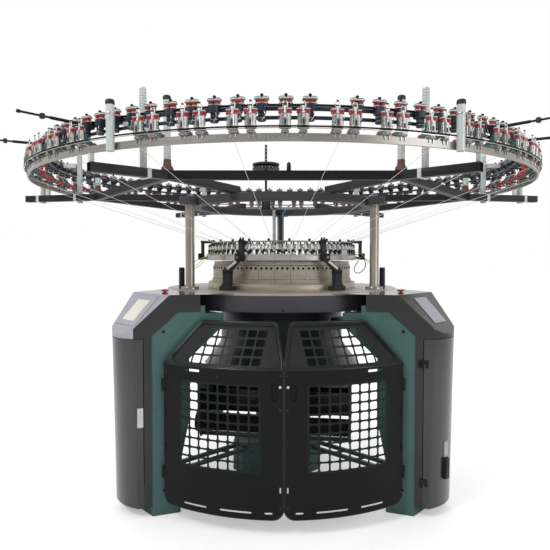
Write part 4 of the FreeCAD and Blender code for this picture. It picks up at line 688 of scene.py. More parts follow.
def pierced(kit, outline, holes, surface, depth0, depth1, look, step=0.0255):
    """Sheet over an outline of the front view, with holes, bent onto a surface."""
    loops = [divided(loop, step) for loop in [outline] + holes]
    points, edges = [], []
    for loop in loops:
        base = len(points)
        points += [Vector(p) for p in loop]
        edges += [(base + i, base + (i + 1) % len(loop)) for i in range(len(loop))]
    spans = []
    for loop in loops:
        xs, zs = zip(*loop)
        spans.append((min(xs), max(xs), min(zs), max(zs)))

    def solid(x, z, margin=0.0):
        if not inside(x, z, loops[0]):
            return False
        for (x0, x1, z0, z1), loop in zip(spans[1:], loops[1:]):
            if x0 - margin < x < x1 + margin and z0 - margin < z < z1 + margin:
                if margin or inside(x, z, loop):
                    return False
        return True

    x0, x1, z0, z1 = spans[0]
    for i in range(1, math.ceil((x1 - x0) / step)):
        for j in range(1, math.ceil((z1 - z0) / (2 * step))):
            x, z = x0 + i * step, z0 + j * 2 * step
            if x < x1 and z < z1 and solid(x, z, 0.003):
                points.append(Vector((x, z)))
    flat, _, triangles, *_ = delaunay_2d_cdt(points, edges, [], 0, 1e-7)
    kept = [tuple(face) for face in triangles
            if solid(sum(flat[i].x for i in face) / 3, sum(flat[i].y for i in face) / 3)]
    for depth, turn in ((depth0, 1), (depth1, -1)):
        kit.add([surface(p.x, p.y, depth) for p in flat], [face[::turn] for face in kept], look)
    for loop in loops:
        kit.loft([[surface(x, z, depth) for x, z in loop] for depth in (depth0, depth1)], look, ends=OPEN)


# ---- gates
GATE_R, GATE_FOLD, GATE_LEAN, GATE_RISE = 1.026, 0.783, 0.158, 0.202
GATE_MID, GATE_HINGE = 17.8, (1.012, 36.6)
GATE_HALF, GATE_LOW, GATE_HIGH = 0.308, 0.086, 0.985
TOP_LEFT, TOP_RIGHT = -0.235, 0.162
RIM, RIM_DEPTH = 0.0078, 0.016
CELL_BAR, CELL_EDGE, CELL_COLUMNS = 0.0085, 0.204, 8
CELLS_LOW, CELLS_LOW_RISE, CELLS_LOW_ROWS = 0.304, 0.408, 9
CELLS_HIGH, CELLS_HIGH_RISE, CELLS_HIGH_ROWS, CELLS_SLANT = 0.797, 0.160, 4, 0.104


def gate_surface(x, z, depth):
    """Point of the gate's bent and folded sheet."""
    a = math.asin(x / GATE_R)
    back = GATE_LEAN * max(0.0, z - GATE_FOLD) / GATE_RISE
    return ((GATE_R - depth) * math.sin(a), -(GATE_R - depth) * math.cos(a) + back, z)


def on_gate(x, z):
    """Place of a screw head on the gate's front."""
    bend = Matrix.Rotation(math.asin(x / GATE_R), 4, "Z")
    return Matrix.Translation(gate_surface(x, z, 0)) @ bend @ OUTWARD


def gate_cells():
    """Punched openings of the lower and of the upper window."""
    lower, upper = [], []
    pitch = 2 * CELL_EDGE / CELL_COLUMNS
    for i in range(CELL_COLUMNS):
        x0 = -CELL_EDGE + i * pitch + CELL_BAR / 2
        x1 = x0 + pitch - CELL_BAR
        rise = CELLS_LOW_RISE / CELLS_LOW_ROWS
        for j in range(CELLS_LOW_ROWS):
            z = CELLS_LOW + j * rise + CELL_BAR / 2
            lower.append(rectangle(x0, x1, z, z + rise - CELL_BAR, 0.0085))
        rise = CELLS_HIGH_RISE / CELLS_HIGH_ROWS
        for j in range(CELLS_HIGH_ROWS):
            z0 = CELLS_HIGH + j * rise + CELL_BAR / 2
            z1 = z0 + rise - CELL_BAR
            ends = [min(x1, CELL_EDGE - CELLS_SLANT * (z - CELLS_HIGH) / CELLS_HIGH_RISE - CELL_BAR / 2)
                    for z in (z0, z1)]
            if ends[1] - x0 > 0.016:
                upper.append(rounded([(x0, z0), (ends[0], z0), (ends[1], z1), (x0, z1)], 0.006))
    return lower, upper


def gate(name, body, node_name, mirrored):
    """One gate, drawn for the right hand side and mirrored for the left."""
    kit = Kit()
    lower_cells, upper_cells = gate_cells()
    e, s, t = GATE_HALF, 0.012, 0.003
    low = rounded([(-e, GATE_LOW, 0.045), (e, GATE_LOW, 0.045), (e, GATE_FOLD), (-e, GATE_FOLD)], 0, 6)
    high = rounded([(-e, GATE_FOLD, 0), (e, GATE_FOLD, 0), (TOP_RIGHT, GATE_HIGH), (TOP_LEFT, GATE_HIGH)],
                   0.03, 6)
    inner_low = rounded([(t - e, GATE_LOW + t, 0.042), (e - t, GATE_LOW + t, 0.042), (e - t, GATE_FOLD - t),
                         (t - e, GATE_FOLD - t)], 0, 6)
    inner_high = rounded([(-e + s * 0.9, GATE_FOLD + s), (e - s * 1.7, GATE_FOLD + s),
                          (TOP_RIGHT - s * 0.75, GATE_HIGH - s), (TOP_LEFT + s * 0.8, GATE_HIGH - s)],
                         0.022, 6)
    window = rectangle(-0.209, 0.209, 0.299, 0.717, 0.012)
    holes = [rectangle(*hole) for hole in (
        (-0.286, -0.258, 0.64, 0.724, 0.012), (0.095, 0.185, 0.761, 0.773, 0.005),
        (-0.3, -0.294, 0.428, 0.463, 0.002), (-0.3, -0.294, 0.21, 0.238, 0.002),
        (0.294, 0.3, 0.35, 0.392, 0.002), (0.294, 0.3, 0.52, 0.56, 0.002), (0.06, 0.185, 0.11, 0.119, 0.004),
        (-0.165, -0.01, 0.11, 0.119, 0.004), (-0.262, -0.226, 0.11, 0.119, 0.004))]
    pocket = rectangle(-0.285, -0.259, 0.641, 0.723, 0.012)
    for outline, openings, depth0, depth1, look in (
            (low, [window] + holes, 0.0, t, "gate"), (window, lower_cells, 0.0006, 0.0034, "bar"),
            (low, [inner_low], t, RIM_DEPTH, "gate"), (high, [inner_high], 0.0, RIM_DEPTH, "gate_rim"),
            (inner_high, upper_cells, 0.006, 0.009, "gate_top"), (pocket, [], 0.007, 0.009, "rubber")):
        pierced(kit, outline, openings, gate_surface, depth0, depth1, look)
    for outline in (low, high):
        bent = [gate_surface(x, z, RIM) for x, z in divided(outline, 0.02)]
        kit.tube(bent + bent[:2], RIM, "gate_rim", 10)
    handle = 0.02 - GATE_R * math.cos(0.2685)
    kit.box(-0.2755, -0.2685, handle, handle + 0.008, 0.66, 0.705, "chrome")
    kit.lathe([(0.0065, -0.0005), (0.0065, 0.0015), (0.004, 0.0025)], "white", 16, on_gate(-0.296, 0.708))
    for x, z in ((-0.297, 0.6), (-0.297, 0.14), (0.297, 0.14), (0.297, 0.745), (-0.297, 0.76), (0.0, 0.745)):
        kit.lathe([(0.0045, 0), (0.0045, 0.001), (0.003, 0.0022)], "gate_rim", 12, on_gate(x, z))
    hinge, end = polar(*GATE_HINGE), polar(1.018, 2 * GATE_MID - 1)
    out = Kit().copy(kit, at(turn=GATE_MID))
    across = (end - hinge).normalized()
    normal = Vector((-across.y, across.x, 0)) * 0.0045
    start = hinge + across * 0.0065
    plan = [tuple(p.xy) for p in (start + normal, end + normal, end - normal, start - normal)]
    for z0, z1 in ((0.23, 0.26), (0.67, 0.7)):
        out.knuckle(0.0051, 0.009, z0, z1, at(hinge.x, hinge.y))
        out.prism(plan, z0, z1, "plastic")
    if mirrored:
        out.verts = [(-x, y, z) for x, y, z in out.verts]
    out.build(name, body, [node_name], 0.0009, 40)


# ---- ring, rails and feeders
RING_IN, RING_OUT, RING_LOW, RING_HIGH = 1.4835, 1.4915, 1.738, 1.768
RING_JOINTS = (-2.9, 57.1, 117.1, 177.1, -122.9, -62.9)
RAIL_IN, RAIL_OUT = 1.385, 1.397
UPPER_R, UPPER_LOW, UPPER_COUNT, UPPER_LEFT_OUT = 1.417, 1.830, 96, 2
LOWER_R, LOWER_COUNT, LOWER_LEFT_OUT, LOWER_TURN, UNIT_SHIFT = 1.489, 48, 44, 1.11, 1.30


def lower_azimuths():
    """Azimuth of each single lower feeder; the place of one pair is taken by a post."""
    return [LOWER_TURN + k * 360 / LOWER_COUNT + side * UNIT_SHIFT
            for k in range(LOWER_COUNT) if k != LOWER_LEFT_OUT for side in (-1, 1)]


def outer_ring():
    kit = Kit()
    kit.ring(slab(RING_IN, RING_OUT, RING_LOW, RING_HIGH, 0.0008), "steel", 240)
    for azimuth in RING_JOINTS:
        kit.blocks(at(turn=azimuth),
                   (0.0006, RING_IN - 0.0003, RING_OUT + 0.0003, RING_LOW, RING_HIGH, "rubber", 0),
                   (0.05, RING_IN - 0.006, RING_IN, RING_LOW + 0.004, RING_HIGH - 0.004, "silver", 0.001))
        for x in (-0.035, -0.015, 0.015, 0.035):
            kit.lathe([(0.0035, 0), (0.0035, 0.001), (0.002, 0.0014)], "gear", 10,
                      at(x, -RING_OUT, 1.753, azimuth) @ OUTWARD)
    clip = Kit()
    for x in (-0.009, 0.009):
        clip.blocks(at(x), (0.003, RING_OUT, RING_OUT + 0.004, 1.7535, RING_HIGH, "silver", 0.0008),
                    (0.003, RING_IN - 0.004, RING_IN, 1.7485, RING_HIGH, "silver", 0.0008))
    for azimuth in lower_azimuths():
        kit.copy(clip, at(turn=azimuth))
    kit.build("steel_ring", replaces=["outer_ring"])


def feeder_rails():
    kit = Kit()
    for r0, r1, z0, z1, look in ((RAIL_IN, RAIL_OUT, 1.8765, 1.8885, "blue"),
                                 (1.387, 1.3965, 1.8935, 1.9015, "plastic"),
                                 (1.3862, 1.3868, 1.8885, 1.8935, "gear")):
        c = min(0.0008, (r1 - r0) / 4)
        kit.ring(slab(r0, r1, z0, z1, c), look, 240)
    kit.build("round_rails", replaces=["feeder_rail"])


def fins(kit, radius, z0, z1, place):
    """Red drum with two fins."""
    core, step = radius * 0.78, (z1 - z0) / 2
    outline = []
    for a in (z0, z0 + step):
        outline += [(core, a), (radius, a + step * 0.15), (radius, a + step * 0.7), (core, a + step * 0.85)]
    kit.lathe(outline + [(core, z1)], "red", 10, place, smooth=False)


def upper_feeders():
    """Storage feeders on the rails. A unit is drawn in millimetres, from its drum's axis and lower edge."""
    unit = Kit()
    unit.blocks(at(), (16.5, -18.5, 16.5, 32, 66, "dark", 4), (6, 16, 19.2, 36, 64, "blue", 1),
                (12.5, -33, -17, 39, 75, "plastic", 2), (14, -12, 10.5, 16, 32.5, "dark", 3))
    for side in (-1, 1):
        unit.lathe([(12, 64.5), (14.2, 65.5), (14.2, 68.5), (11, 69.5)], "pale", 12, at(side * 13))
        fins(unit, 12.6, 69.5, 81.5, at(side * 12.5))
        unit.lathe([(14.5, 81.8), (16.6, 83), (16.6, 87.5), (15, 89)], "pale", 12, at(side * 14))
        unit.lathe([(14.2, 88), (14.2, 91.5), (11, 93.2)], "green", 14, at(side * 14))
        unit.lathe([(4, 92.8), (4, 94.6), (2.5, 95)], "silver", 8, at(side * 14))
    unit.lathe([(4, 88), (4, 96.2), (6.8, 96.8), (7.2, 100), (5, 103.8)], "plastic", 12)
    unit.lathe([(15, 0), (17.5, 2), (17.5, 6.5), (15, 7.8), (15, 10), (17.5, 11.2), (17.5, 14), (12, 16.5)],
               "dark", 16)
    # silver band in the groove of the dark pulley: a painted highlight where the pulley's glint shows
    unit.lathe([(15.3, 7.6), (17, 8), (17, 9.8), (15.3, 10.2)], "silver", 16)
    unit.tube([(10, -16, 34), (13, -18.8, 26), (12, -19.2, 14), (6, -18, 4), (1, -14, -1)], 1.4, "ceramic", 6)
    kit = Kit()
    for k in range(UPPER_COUNT):
        if k != UPPER_LEFT_OUT:
            kit.copy(unit, at(0, -UPPER_R, UPPER_LOW, k * 360 / UPPER_COUNT) @ MILLIMETRES)
    kit.ring(slab(1.391, 1.401, 1.8412, 1.854, 0.0005, 0.0008), "blue", 240)
    kit.build("storage_feeders_upper", replaces=["upper_feeders"])


def lower_feeders():
    """Feeders on the steel ring, in pairs, with their belt. A unit is drawn in millimetres."""
    unit = Kit()
    unit.blocks(at(), (15, -14, 15, 0.5, 9.5, "foot", 3), (11, -11, 14, 9.5, 16, "silver", 1),
                (7, -11, 15, 24, 72, "silver", 3), (4, 14, 17.5, 30, 50, "dark", 1.5),
                (4.5, 14, 18.5, 55, 66, "pale", 1), (5, -11, 0, 71, 96, "dark", 2),
                (18, -15, -3, 35, 68, "green", 3), (4.5, -0.5, 8, 116.5, 122.5, "plastic", 1.5))
    for side, look in ((-1, "silver"), (1, "ceramic")):
        unit.lathe([(9.5, 16), (11.8, 17), (11.8, 22.5), (9, 23.5)], "plastic", 10, at(side * 10.5, -2))
        unit.lathe([(9.8, 23.5), (9.8, 33), (6.6, 36.5), (6.6, 50.5), (8.2, 51), (8.2, 56), (6.6, 56.5),
                    (6.6, 71)], look, 10, at(side * 12.8, -3))
        fins(unit, 9.8, 71, 85, at(side * 16, -4))
        unit.lathe([(9.4, 85.3), (10.2, 86.5), (10.2, 89), (3, 90.5)], "pale", 10, at(side * 16, -4))
        unit.tube([(side * 19.5, -10, 32), (side * 22.2, -14, 52), (side * 21, -11, 70)], 1.3, "gear", 5)
    unit.lathe([(5.8, 71.5), (5.8, 80), (4.6, 81), (4.6, 92), (6, 93), (5, 99)], "ceramic", 10, at(0, -5))
    hook = ((-8.5, 92), (-8.5, 108), (-6, 115), (0, 118), (6, 115), (8.5, 108), (8.5, 92))
    unit.tube([(x, -3.5, z) for x, z in hook], 2.2, "ceramic", 7)
    unit.tube([(18, 9, 68), (22.5, 15, 88), (24, 19, 104)], 1.8, "plastic", 6)
    unit.loft([[(x, y, z) for x, z in ((-6, low), (6, low), (6, high), (-6, high))]
               for y, low, high in ((13, 22, 62), (41, 15, 38), (69, 11, 22))], "green")
    wheel = at(0, 64, 16.2) @ SIDEWAYS
    fins(unit, 14, -8.5, 8.5, wheel)
    unit.lathe([(4, -12.5), (4, 12.5)], "silver", 8, wheel)
    kit = Kit()
    for azimuth in lower_azimuths():
        kit.copy(unit, at(0, -LOWER_R, RING_HIGH, azimuth) @ MILLIMETRES)
    for r0, r1, z0, z1, look in ((1.507, 1.5085, 1.7862, 1.7925, "rubber"),
                                 (1.5065, 1.508, 1.7815, 1.7843, "silver")):
        kit.ring([(r0, z0), (r1, z0), (r1, z1), (r0, z1)], look, 240)
    kit.build("positive_feeders_lower", replaces=["lower_feeders"])


# ---- yarns and wires
YARNS, YARN_DIAMETER = 24, 0.002
YARN_START_R, YARN_END_R, YARN_END_Z = 1.489, 0.453, 1.404
# each wire's look, diameter and length, and its route in millimetres
WIRES = {
    "left_green": ("wire", 0.0032, 0.487, [
        (-330, -352, 1322.5), (-345, -380, 1352), (-390, -395, 1350), (-440, -375, 1318), (-470, -320, 1272),
        (-520, -250, 1236), (-548, -230, 1262), (-512, -190, 1300), (-462, -130, 1312)]),
    "left_yellow": ("wire", 0.0028, 0.380, [
        (-395, -272, 1322.5), (-420, -300, 1340), (-462, -300, 1316), (-500, -262, 1262), (-560, -215, 1250),
        (-540, -160, 1290), (-464, -110, 1312)]),
    "right_green": ("wire", 0.0030, 0.323, [
        (415, -238, 1322.5), (440, -262, 1346), (482, -262, 1326), (520, -222, 1276), (548, -176, 1272),
        (528, -130, 1300), (466, -100, 1312)]),
    "right_black": ("plastic", 0.0048, 0.462, [
        (430, -210, 1322.5), (462, -236, 1330), (504, -250, 1290), (500, -250, 1236), (452, -262, 1206),
        (424, -270, 1236), (452, -270, 1280), (478, -170, 1300), (470, -85, 1312)]),
}


def line(name, points, diameter, look, fineness):
    """Curve with a round section, fixed to the machine."""
    curve = bpy.data.curves.new(name, "CURVE")
    curve.dimensions = "3D"
    curve.bevel_depth = diameter / 2
    curve.bevel_resolution = fineness
    spline = curve.splines.new("NURBS")
    spline.points.add(len(points) - 1)
    for point, place in zip(spline.points, points):
        point.co = (*place, 1)
    spline.order_u = 3
    spline.use_endpoint_u = True
    curve.materials.append(M[look])
    piece = bpy.data.objects.new(name, curve)
    bpy.context.scene.collection.objects.link(piece)
    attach(piece, BODY)
    return piece


def yarns():
    """Taut yarns from under the outer ring to the guide ring."""
    for k in range(YARNS):
        azimuth = (k + 0.5) * 360 / YARNS
        start = polar(YARN_START_R, azimuth, RING_LOW)
        end = polar(YARN_END_R, azimuth, YARN_END_Z)
        points = [start.lerp(end, share) for share in (0.0, 0.35, 0.7, 1.0)]
        piece = line("yarn_%02d" % k, points, YARN_DIAMETER, "yarn", 1)
        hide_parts("yarns")


def signal_wires():
    """Free wires of the needle detectors, from the sinker ring down towards the bed and back to the ring."""
    for name, (look, diameter, length, route) in WIRES.items():
        points = [(x / 1000, y / 1000, z / 1000) for x, y, z in route]
        piece = line("wire_" + name, points, diameter, look, 3)


# ---- posts
POST_R, CORNER_CIRCLE, INNER_LIMIT, LOW_POST = 0.0168, 1.151, 1.35, 1.7
ARMS = ((27.6, (0.810, -1.260)), (84.0, (1.640, 0.0)), (150.0, (0.917, 1.360)))


def strap_place(x, y):
    """Place of the strap that holds a post to its arm, its +Y from the post to the arm."""
    side = math.copysign(1, x)
    post = Vector((x, y, 0))
    reaches = []
    for azimuth, tip in ARMS:
        corner = polar(CORNER_CIRCLE, side * azimuth)
        along = (Vector((side * tip[0], tip[1], 0)) - corner).normalized()
        reaches.append(corner + along * (post - corner).dot(along) - post)
    across = min(reaches, key=lambda reach: reach.length)
    return Matrix.Translation(post) @ Matrix.Rotation(math.atan2(-across.x, across.y), 4, "Z")


def post_places():
    """Middle, bottom, top and kind of each post, read from the frame's nodes."""
    places = []
    edit = bmesh.new()
    edit.from_mesh(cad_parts["post_tubes"].data)
    bmesh.ops.remove_doubles(edit, verts=edit.verts, dist=NODE_MERGE)
    edit.verts.index_update()
    done = set()
    for start in edit.verts:
        if start.index in done:
            continue
        island, stack = [], [start]
        done.add(start.index)
        while stack:
            v = stack.pop()
            island.append(v.co.copy())
            for e in v.link_edges:
                w = e.other_vert(v)
                if w.index not in done:
                    done.add(w.index)
                    stack.append(w)
        x = sum(p.x for p in island) / len(island)
        y = sum(p.y for p in island) / len(island)
        radius = math.hypot(x, y)
        kind = "inner" if radius < INNER_LIMIT else "outer"
        if abs(radius - CORNER_CIRCLE) < 0.01:
            kind = "corner"
        places.append((x, y, min(p.z for p in island), max(p.z for p in island), kind))
    edit.free()
    return places


def posts():
    """Round upright tubes of the frame with their clamps; those inside the rail are ribbed."""
    kit, caps, clamps = Kit(), Kit(), Kit()
    r = POST_R
    for x, y, z0, z1, kind in post_places():
        place = at(x, y)
        if kind == "inner":
            outline = [(r - 0.002, z0), (r, z0 + 0.002)]
            count = int((z1 - z0) / 0.0125)
            for k in range(count):
                z = z0 + 0.004 + k * (z1 - z0 - 0.008) / count
                outline += [(r, z), (r, z + 0.0075), (r - 0.0022, z + 0.0085), (r - 0.0022, z + 0.011)]
            kit.lathe(outline + [(r, z1 - 0.003), (r, z1)], "post", 20, place)
            caps.lathe([(r, z1), (r - 0.001, z1 + 0.006), (r - 0.006, z1 + 0.0095)], "post", 20, place)
        else:
            kit.lathe([(r - 0.001, z0), (r, z0 + 0.001), (r, z1)], "post", 24, place)
            kit.lathe([(r + 0.0004, z1 - 0.052), (r + 0.001, z1 - 0.05), (r + 0.001, z1 - 0.046),
                       (r + 0.0004, z1 - 0.044)], "silver", 24, place)
            caps.lathe([(r + 0.0012, z1 - 0.012), (r + 0.0018, z1 - 0.01), (r + 0.0018, z1 + 0.003),
                        (r - 0.002, z1 + 0.008), (0.004, z1 + 0.0095)], "cap", 24, place)
        if kind == "corner":
            kit.lathe([(r + 0.01, z0 + 0.0005), (r + 0.012, z0 + 0.003), (r + 0.01, z0 + 0.016),
                       (r + 0.003, z0 + 0.024), (r + 0.0008, z0 + 0.038), (r + 0.0002, z0 + 0.052)],
                      "rust", 20, place)
        elif z0 < LOW_POST:
            clamps.box(-0.01, 0.01, -0.02, 0.0618, 1.6602, 1.7038, "white", strap_place(x, y), 0.002)
    kit.build("round_posts", replaces=["post_tubes"])
    caps.build("post_end_caps", replaces=["post_caps"])
    clamps.build("post_clamps")


# ---- hoods and doors of the legs
LEG_AZIMUTHS = {"left": -46.7, "right": 46.7, "rear": 180.0}
LEG_ROOT, LEG_TAPER = 0.6054, 0.447
HOOD_SKIN, HOOD_SLOPE, HOOD_END, HOOD_MEETS_BED = 0.004, 2.079, 1.124, 0.6507
HOOD_LOW, HOOD_TOP, HOOD_BED_R = 0.905, 1.118, 0.7245
HOOD_SIDE_START, HOOD_SIDE_LOW = 0.815, 1.043
SIDE_CORNER, SIDE_STEP, SIDE_SLANT = 0.912, 1.03, 0.123
HOOD_SEAM, DOOR_START, DOOR_END, DOOR_LOW, DOOR_HIGH = 1.076, 1.079, 1.104, 0.050, 0.902
HINGE_LEVELS = (0.160, 0.758)
BUTTON_U, BUTTON_SHIFT, FIXING_U = 0.889, 0.028, 0.985


def leg_width(u):
    """Half width of the leg's plan at a distance from the axis."""
    return LEG_ROOT - LEG_TAPER * u


def crown_path(start, end, skin, limit=9.0, crown=0.030, steps=20, corner=0.010):
    """Plan points (v, u) from one free edge round the crowned outer end to the other."""
    full = leg_width(end) + skin
    radius = (full * full + crown * crown) / (2 * crown)
    reach = 0.94 * math.asin(full / radius)
    edge = min(end, limit)
    half = leg_width(edge) + skin
    arc = []
    for k in range(steps + 1):
        a = reach * (2.0 * k / steps - 1)
        u = end + crown - radius + radius * math.cos(a)
        arc.append((radius * math.sin(a) * half / full, min(limit, u)))
    right = [(half + 0.0012, edge - corner * 0.25), (leg_width(edge - corner) + skin, edge - corner),
             (leg_width(start) + skin, start)]
    return [(-v, u) for v, u in right[::-1]] + arc + right


def side_plate(kit, u0, u1, z0, z1, thick):
    """Flat hinge leaf on the side face of a hood or door."""
    near, far = HOOD_SKIN, HOOD_SKIN + thick
    plan = [(-leg_width(u) - s, -u) for u, s in ((u0, near), (u1, near), (u1, far), (u0, far))]
    kit.prism(plan, z0, z1, "plastic")


def hood_door(side, azimuth):
    """Crowned sheet door with returned sides and hinge leaves, and the socket of the right one."""
    kit = Kit()
    loops = []
    for z, end in ((DOOR_LOW, DOOR_END), (DOOR_HIGH, DOOR_END + 0.02)):
        outer = crown_path(DOOR_START, end, HOOD_SKIN)
        inner = crown_path(DOOR_START, end - 0.004, HOOD_SKIN - 0.0035)
        loops.append([(v, -u, z) for v, u in outer + inner[::-1]])
    kit.loft(loops, "door", True)
    axis = leg_width(HOOD_SEAM) + HOOD_SKIN + 0.0083 * math.sqrt(1 + LEG_TAPER ** 2)
    for level in HINGE_LEVELS:
        z0, z1 = level + 0.0203, level + 0.04
        kit.knuckle(0.0041, 0.008, z0, z1, at(-axis, -HOOD_SEAM))
        side_plate(kit, 1.0795, 1.1, z0, z1, 0.0035)
        side_plate(kit, 1.087, 1.1, level, z0, 0.0035)
    if side == "right":
        kit.box(-0.03, 0.008, -1.156, -1.133, 0.187, 0.292, "plastic", soft=0.004)
        kit.box(-0.024, 0.002, -1.158, -1.154, 0.232, 0.28, "cap", soft=0.003)
        kit.box(-0.027, 0.005, -1.1475, -1.138, 0.3, 0.376, "plate", soft=0.0015)
        for z in (0.306, 0.37):
            kit.lathe([(0.0022, 0), (0.0022, 0.0008), (0.0012, 0.0012)], "gear", 8,
                      at(-0.011, -1.1475, z) @ OUTWARD)
    out = Kit().copy(kit, at(turn=azimuth))
    out.build("crowned_door_" + side, side + "_hood_door", ["hood_door_" + side], 0.0006, 40)


def hood(side, azimuth):
    """Sheet hood with its console slope, upright bands, L-shaped side faces and flat top."""
    face = "lavender" if side == "left" else "hood"
    levels = [HOOD_LOW, SIDE_CORNER, *(0.92 + 0.005 * k for k in range(9)), 1.0295, SIDE_STEP, HOOD_TOP]
    loops = []
    for z in levels:
        start = HOOD_SIDE_START
        if z < SIDE_STEP:
            start = HOOD_SIDE_LOW - SIDE_SLANT * max(0.0, z - SIDE_CORNER) / (SIDE_STEP - SIDE_CORNER)
        path = crown_path(start, HOOD_END, HOOD_SKIN, HOOD_SLOPE - z)
        loops.append([(v, -u, z) for v, u in path])
    kit = Kit()
    n = len(loops[0])
    for first, last, look in ((0, 3, "hood"), (2, n - 2, face), (n - 3, n, "hood")):
        kit.loft([loop[first:last] for loop in loops], look, closed=False, ends=OPEN)
    for sign in (-1, 1):
        kit.loft([[(sign * (leg_width(u) + HOOD_SKIN), -u, z) for u in (HOOD_SIDE_LOW, HOOD_SEAM)]
                  for z in (0.05, HOOD_LOW)], "hood", closed=False, ends=OPEN)
    reach = math.degrees(math.atan((leg_width(HOOD_MEETS_BED) + HOOD_SKIN) / HOOD_MEETS_BED))
    top = [polar(HOOD_BED_R, reach * (k / 8 - 1), HOOD_TOP) for k in range(17)] + loops[-1][::-1]
    kit.add(top, [tuple(range(len(top)))], "hood")
    piece = Kit().copy(kit, at(turn=azimuth)).build("console_hood_" + side, replaces=["hood_" + side])
    if sum(p.area * p.normal.dot(polar(1, azimuth)) for p in piece.data.polygons) < 0:
        piece.data.flip_normals()
    wall = piece.modifiers.new("sheet", "SOLIDIFY")
    wall.thickness = 0.003
    wall.offset = -1
    soften(piece, 0.002, 2, 30)
    kit = Kit()
    for level in HINGE_LEVELS:
        side_plate(kit, 1.052, 1.066, level + 0.0195, level + 0.04, 0.003)
    for sign in (-1, 1):
        facing = (Matrix.Rotation(-sign * math.atan(LEG_TAPER), 4, "Z")
                  @ Matrix.Rotation(math.radians(90 * sign), 4, "Y"))
        for z in (0.934, 0.127):
            kit.lathe([(0.0085, -0.001), (0.0085, 0.001), (0.007, 0.0022), (0.0035, 0.0022), (0.0035, 0.001)],
                      "plastic", 16, at(sign * leg_width(FIXING_U), -FIXING_U, z) @ facing)
    Kit().copy(kit, at(turn=azimuth)).build("leg_fixings_" + side)


def stop_button(side, azimuth, v):
    """Mushroom button, and the collar that it moves in."""
    place = at(v, -BUTTON_U, 0, azimuth)
    cap = Kit()
    cap.lathe([(0.0075, 1.0885), (0.0079, 1.089), (0.0079, 1.128), (0.018, 1.128), (0.0197, 1.13),
               (0.0199, 1.1335), (0.0185, 1.137), (0.014, 1.139), (0.007, 1.1398)], "button", 28, place)
    cap.build("mushroom_" + side, side + "_button", ["stop_button_" + side])
    collar = Kit()
    collar.ring([(0.0085, 1.1182), (0.017, 1.1182), (0.0165, 1.1215), (0.0085, 1.1215)], "cap", 24, place)
    collar.build("button_collar_" + side)


# ---- upper fittings
PULLEY_PLACE, CONDUIT_PLACE = (-0.109, 0.540), (-0.048, 0.508)
ROD_AZIMUTHS = (-61.9, -39.4, 43.1, 58.1)
PULLEY = [(0.009, 1.6725), (0.009, 1.957), (0.096, 1.957), (0.1, 1.9595), (0.1, 1.9725), (0.096, 1.975),
          (0.07, 1.976), (0.07, 1.984), (0.096, 1.985), (0.1, 1.9875), (0.1, 2.0005), (0.096, 2.003),
          (0.03, 2.0032), (0.028, 2.008), (0.012, 2.009), (0.009, 2.01), (0.009, 2.138), (0.006, 2.143)]


def quality_pulley():
    """Striped quality pulley, and the bearing that it turns in."""
    place = at(*PULLEY_PLACE)
    kit = Kit()
    kit.lathe(PULLEY, "cap", 48, place)
    for k in range(6):
        kit.box(-0.01, 0.01, 0.034, 0.09, 2.003, 2.0045, "silver", place @ at(turn=60 * k), 0.0006)
    for z in (2.03, 2.06, 2.09, 2.115):
        kit.lathe([(0.0092, z), (0.011, z + 0.001), (0.011, z + 0.006), (0.0092, z + 0.007)],
                  "silver", 16, place)
    for k in range(24):
        kit.box(-0.0015, 0.0015, 0.0985, 0.1003, 1.96, 1.972, "silver", place @ at(turn=15 * k))
    kit.build("striped_quality_pulley", "quality_wheel", ["quality_pulley"])
    kit = Kit()
    kit.lathe([(0.0335, 1.662), (0.034, 1.664), (0.034, 1.735), (0.03, 1.745), (0.022, 1.75), (0.021, 1.757),
               (0.018, 1.758), (0.0092, 1.758), (0.0092, 1.672)], "cap", 32, place, ends=(True, False))
    for k in range(4):
        kit.lathe([(0.004, 1.745), (0.004, 1.748), (0.0025, 1.749)], "silver", 8,
                  place @ at(0.026, 0, 0, 90 * k + 45))
    kit.build("pulley_bearing", replaces=["pulley_housing"])


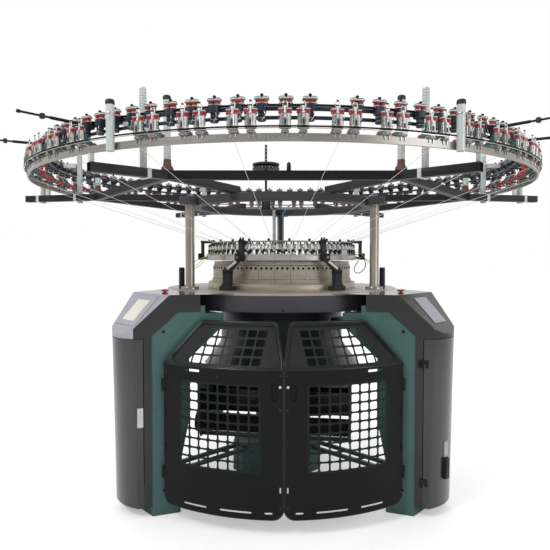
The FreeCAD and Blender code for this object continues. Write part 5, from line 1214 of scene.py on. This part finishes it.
def conduit():
    """Ribbed conduit at the rear column with its two branches."""
    kit = Kit()
    ribs = [(0.0125, BED_TOP)]
    for k in range(64):
        z = BED_TOP + 0.006 + k * 0.0083
        ribs += [(0.0105, z), (0.0135, z + 0.0015), (0.0135, z + 0.0045), (0.0105, z + 0.006)]
    kit.lathe(ribs + [(0.0125, TOP_LOW + 0.03)], "pale", 16, at(*CONDUIT_PLACE))
    for sign, look in ((-1, "plastic"), (1, "wire_blue")):
        kit.tube([(0.01 * sign, 0.497, 1.6), (0.016 * sign, 0.486, 1.63), (0.045 * sign, 0.476, 1.668),
                  (0.075 * sign, 0.47, 1.695)], 0.0045, look, 8)
    kit.build("ribbed_conduit")


def fittings():
    """Knob on the front beam, joints and sleeves of the rods, sockets on the bed and a clamp at the head."""
    kit = Kit()
    kit.lathe([(0.012, 1.702), (0.012, 1.706), (0.01, 1.708), (0.0095, 1.734), (0.005, 1.742)], "plastic", 20,
              at(0.021, -1.02))
    for azimuth in ROD_AZIMUTHS:
        kit.blocks(at(turn=azimuth), (0.009, 1.398, 1.428, 1.884, 1.91, "plastic", 0.003),
                   (0.011, 1.584, 1.602, 1.886, 1.908, "cap", 0.003))
        for radius, sleeve in ((1.44, [(0.0046, 0), (0.007, 0.001), (0.007, 0.118), (0.0046, 0.119)]),
                               (1.6855, [(0.0046, 0), (0.0075, 0.001), (0.0075, 0.013), (0.005, 0.0145)])):
            kit.lathe(sleeve, "plastic", 14, at(0, -radius, 1.897, azimuth) @ OUTWARD)
    for azimuth in (-66.0, 66.0):
        kit.blocks(at(turn=azimuth), (0.017, 0.642, 0.672, BED_TOP, 1.248, "cap", 0.005))
    kit.blocks(at(turn=51.5), (0.028, 0.448, 0.476, 1.32, 1.352, "white", 0.003))
    kit.build("small_fittings")


# ---- the whole machine
dress_nodes()
camera()
studio()
floor()
bed()
columns()
top_plate()
head()
sinker_brackets()
yarn_guides()
cylinder()
takedown()
gate("grille_gate_right", "right_gate", "gate_right", False)
gate("grille_gate_left", "left_gate", "gate_left", True)
outer_ring()
feeder_rails()
upper_feeders()
lower_feeders()
yarns()
posts()
for side, azimuth in LEG_AZIMUTHS.items():
    hood_door(side, azimuth)
    hood(side, azimuth)
stop_button("left", LEG_AZIMUTHS["left"], BUTTON_SHIFT)
stop_button("right", LEG_AZIMUTHS["right"], -BUTTON_SHIFT)
quality_pulley()
conduit()
fittings()
signal_wires()
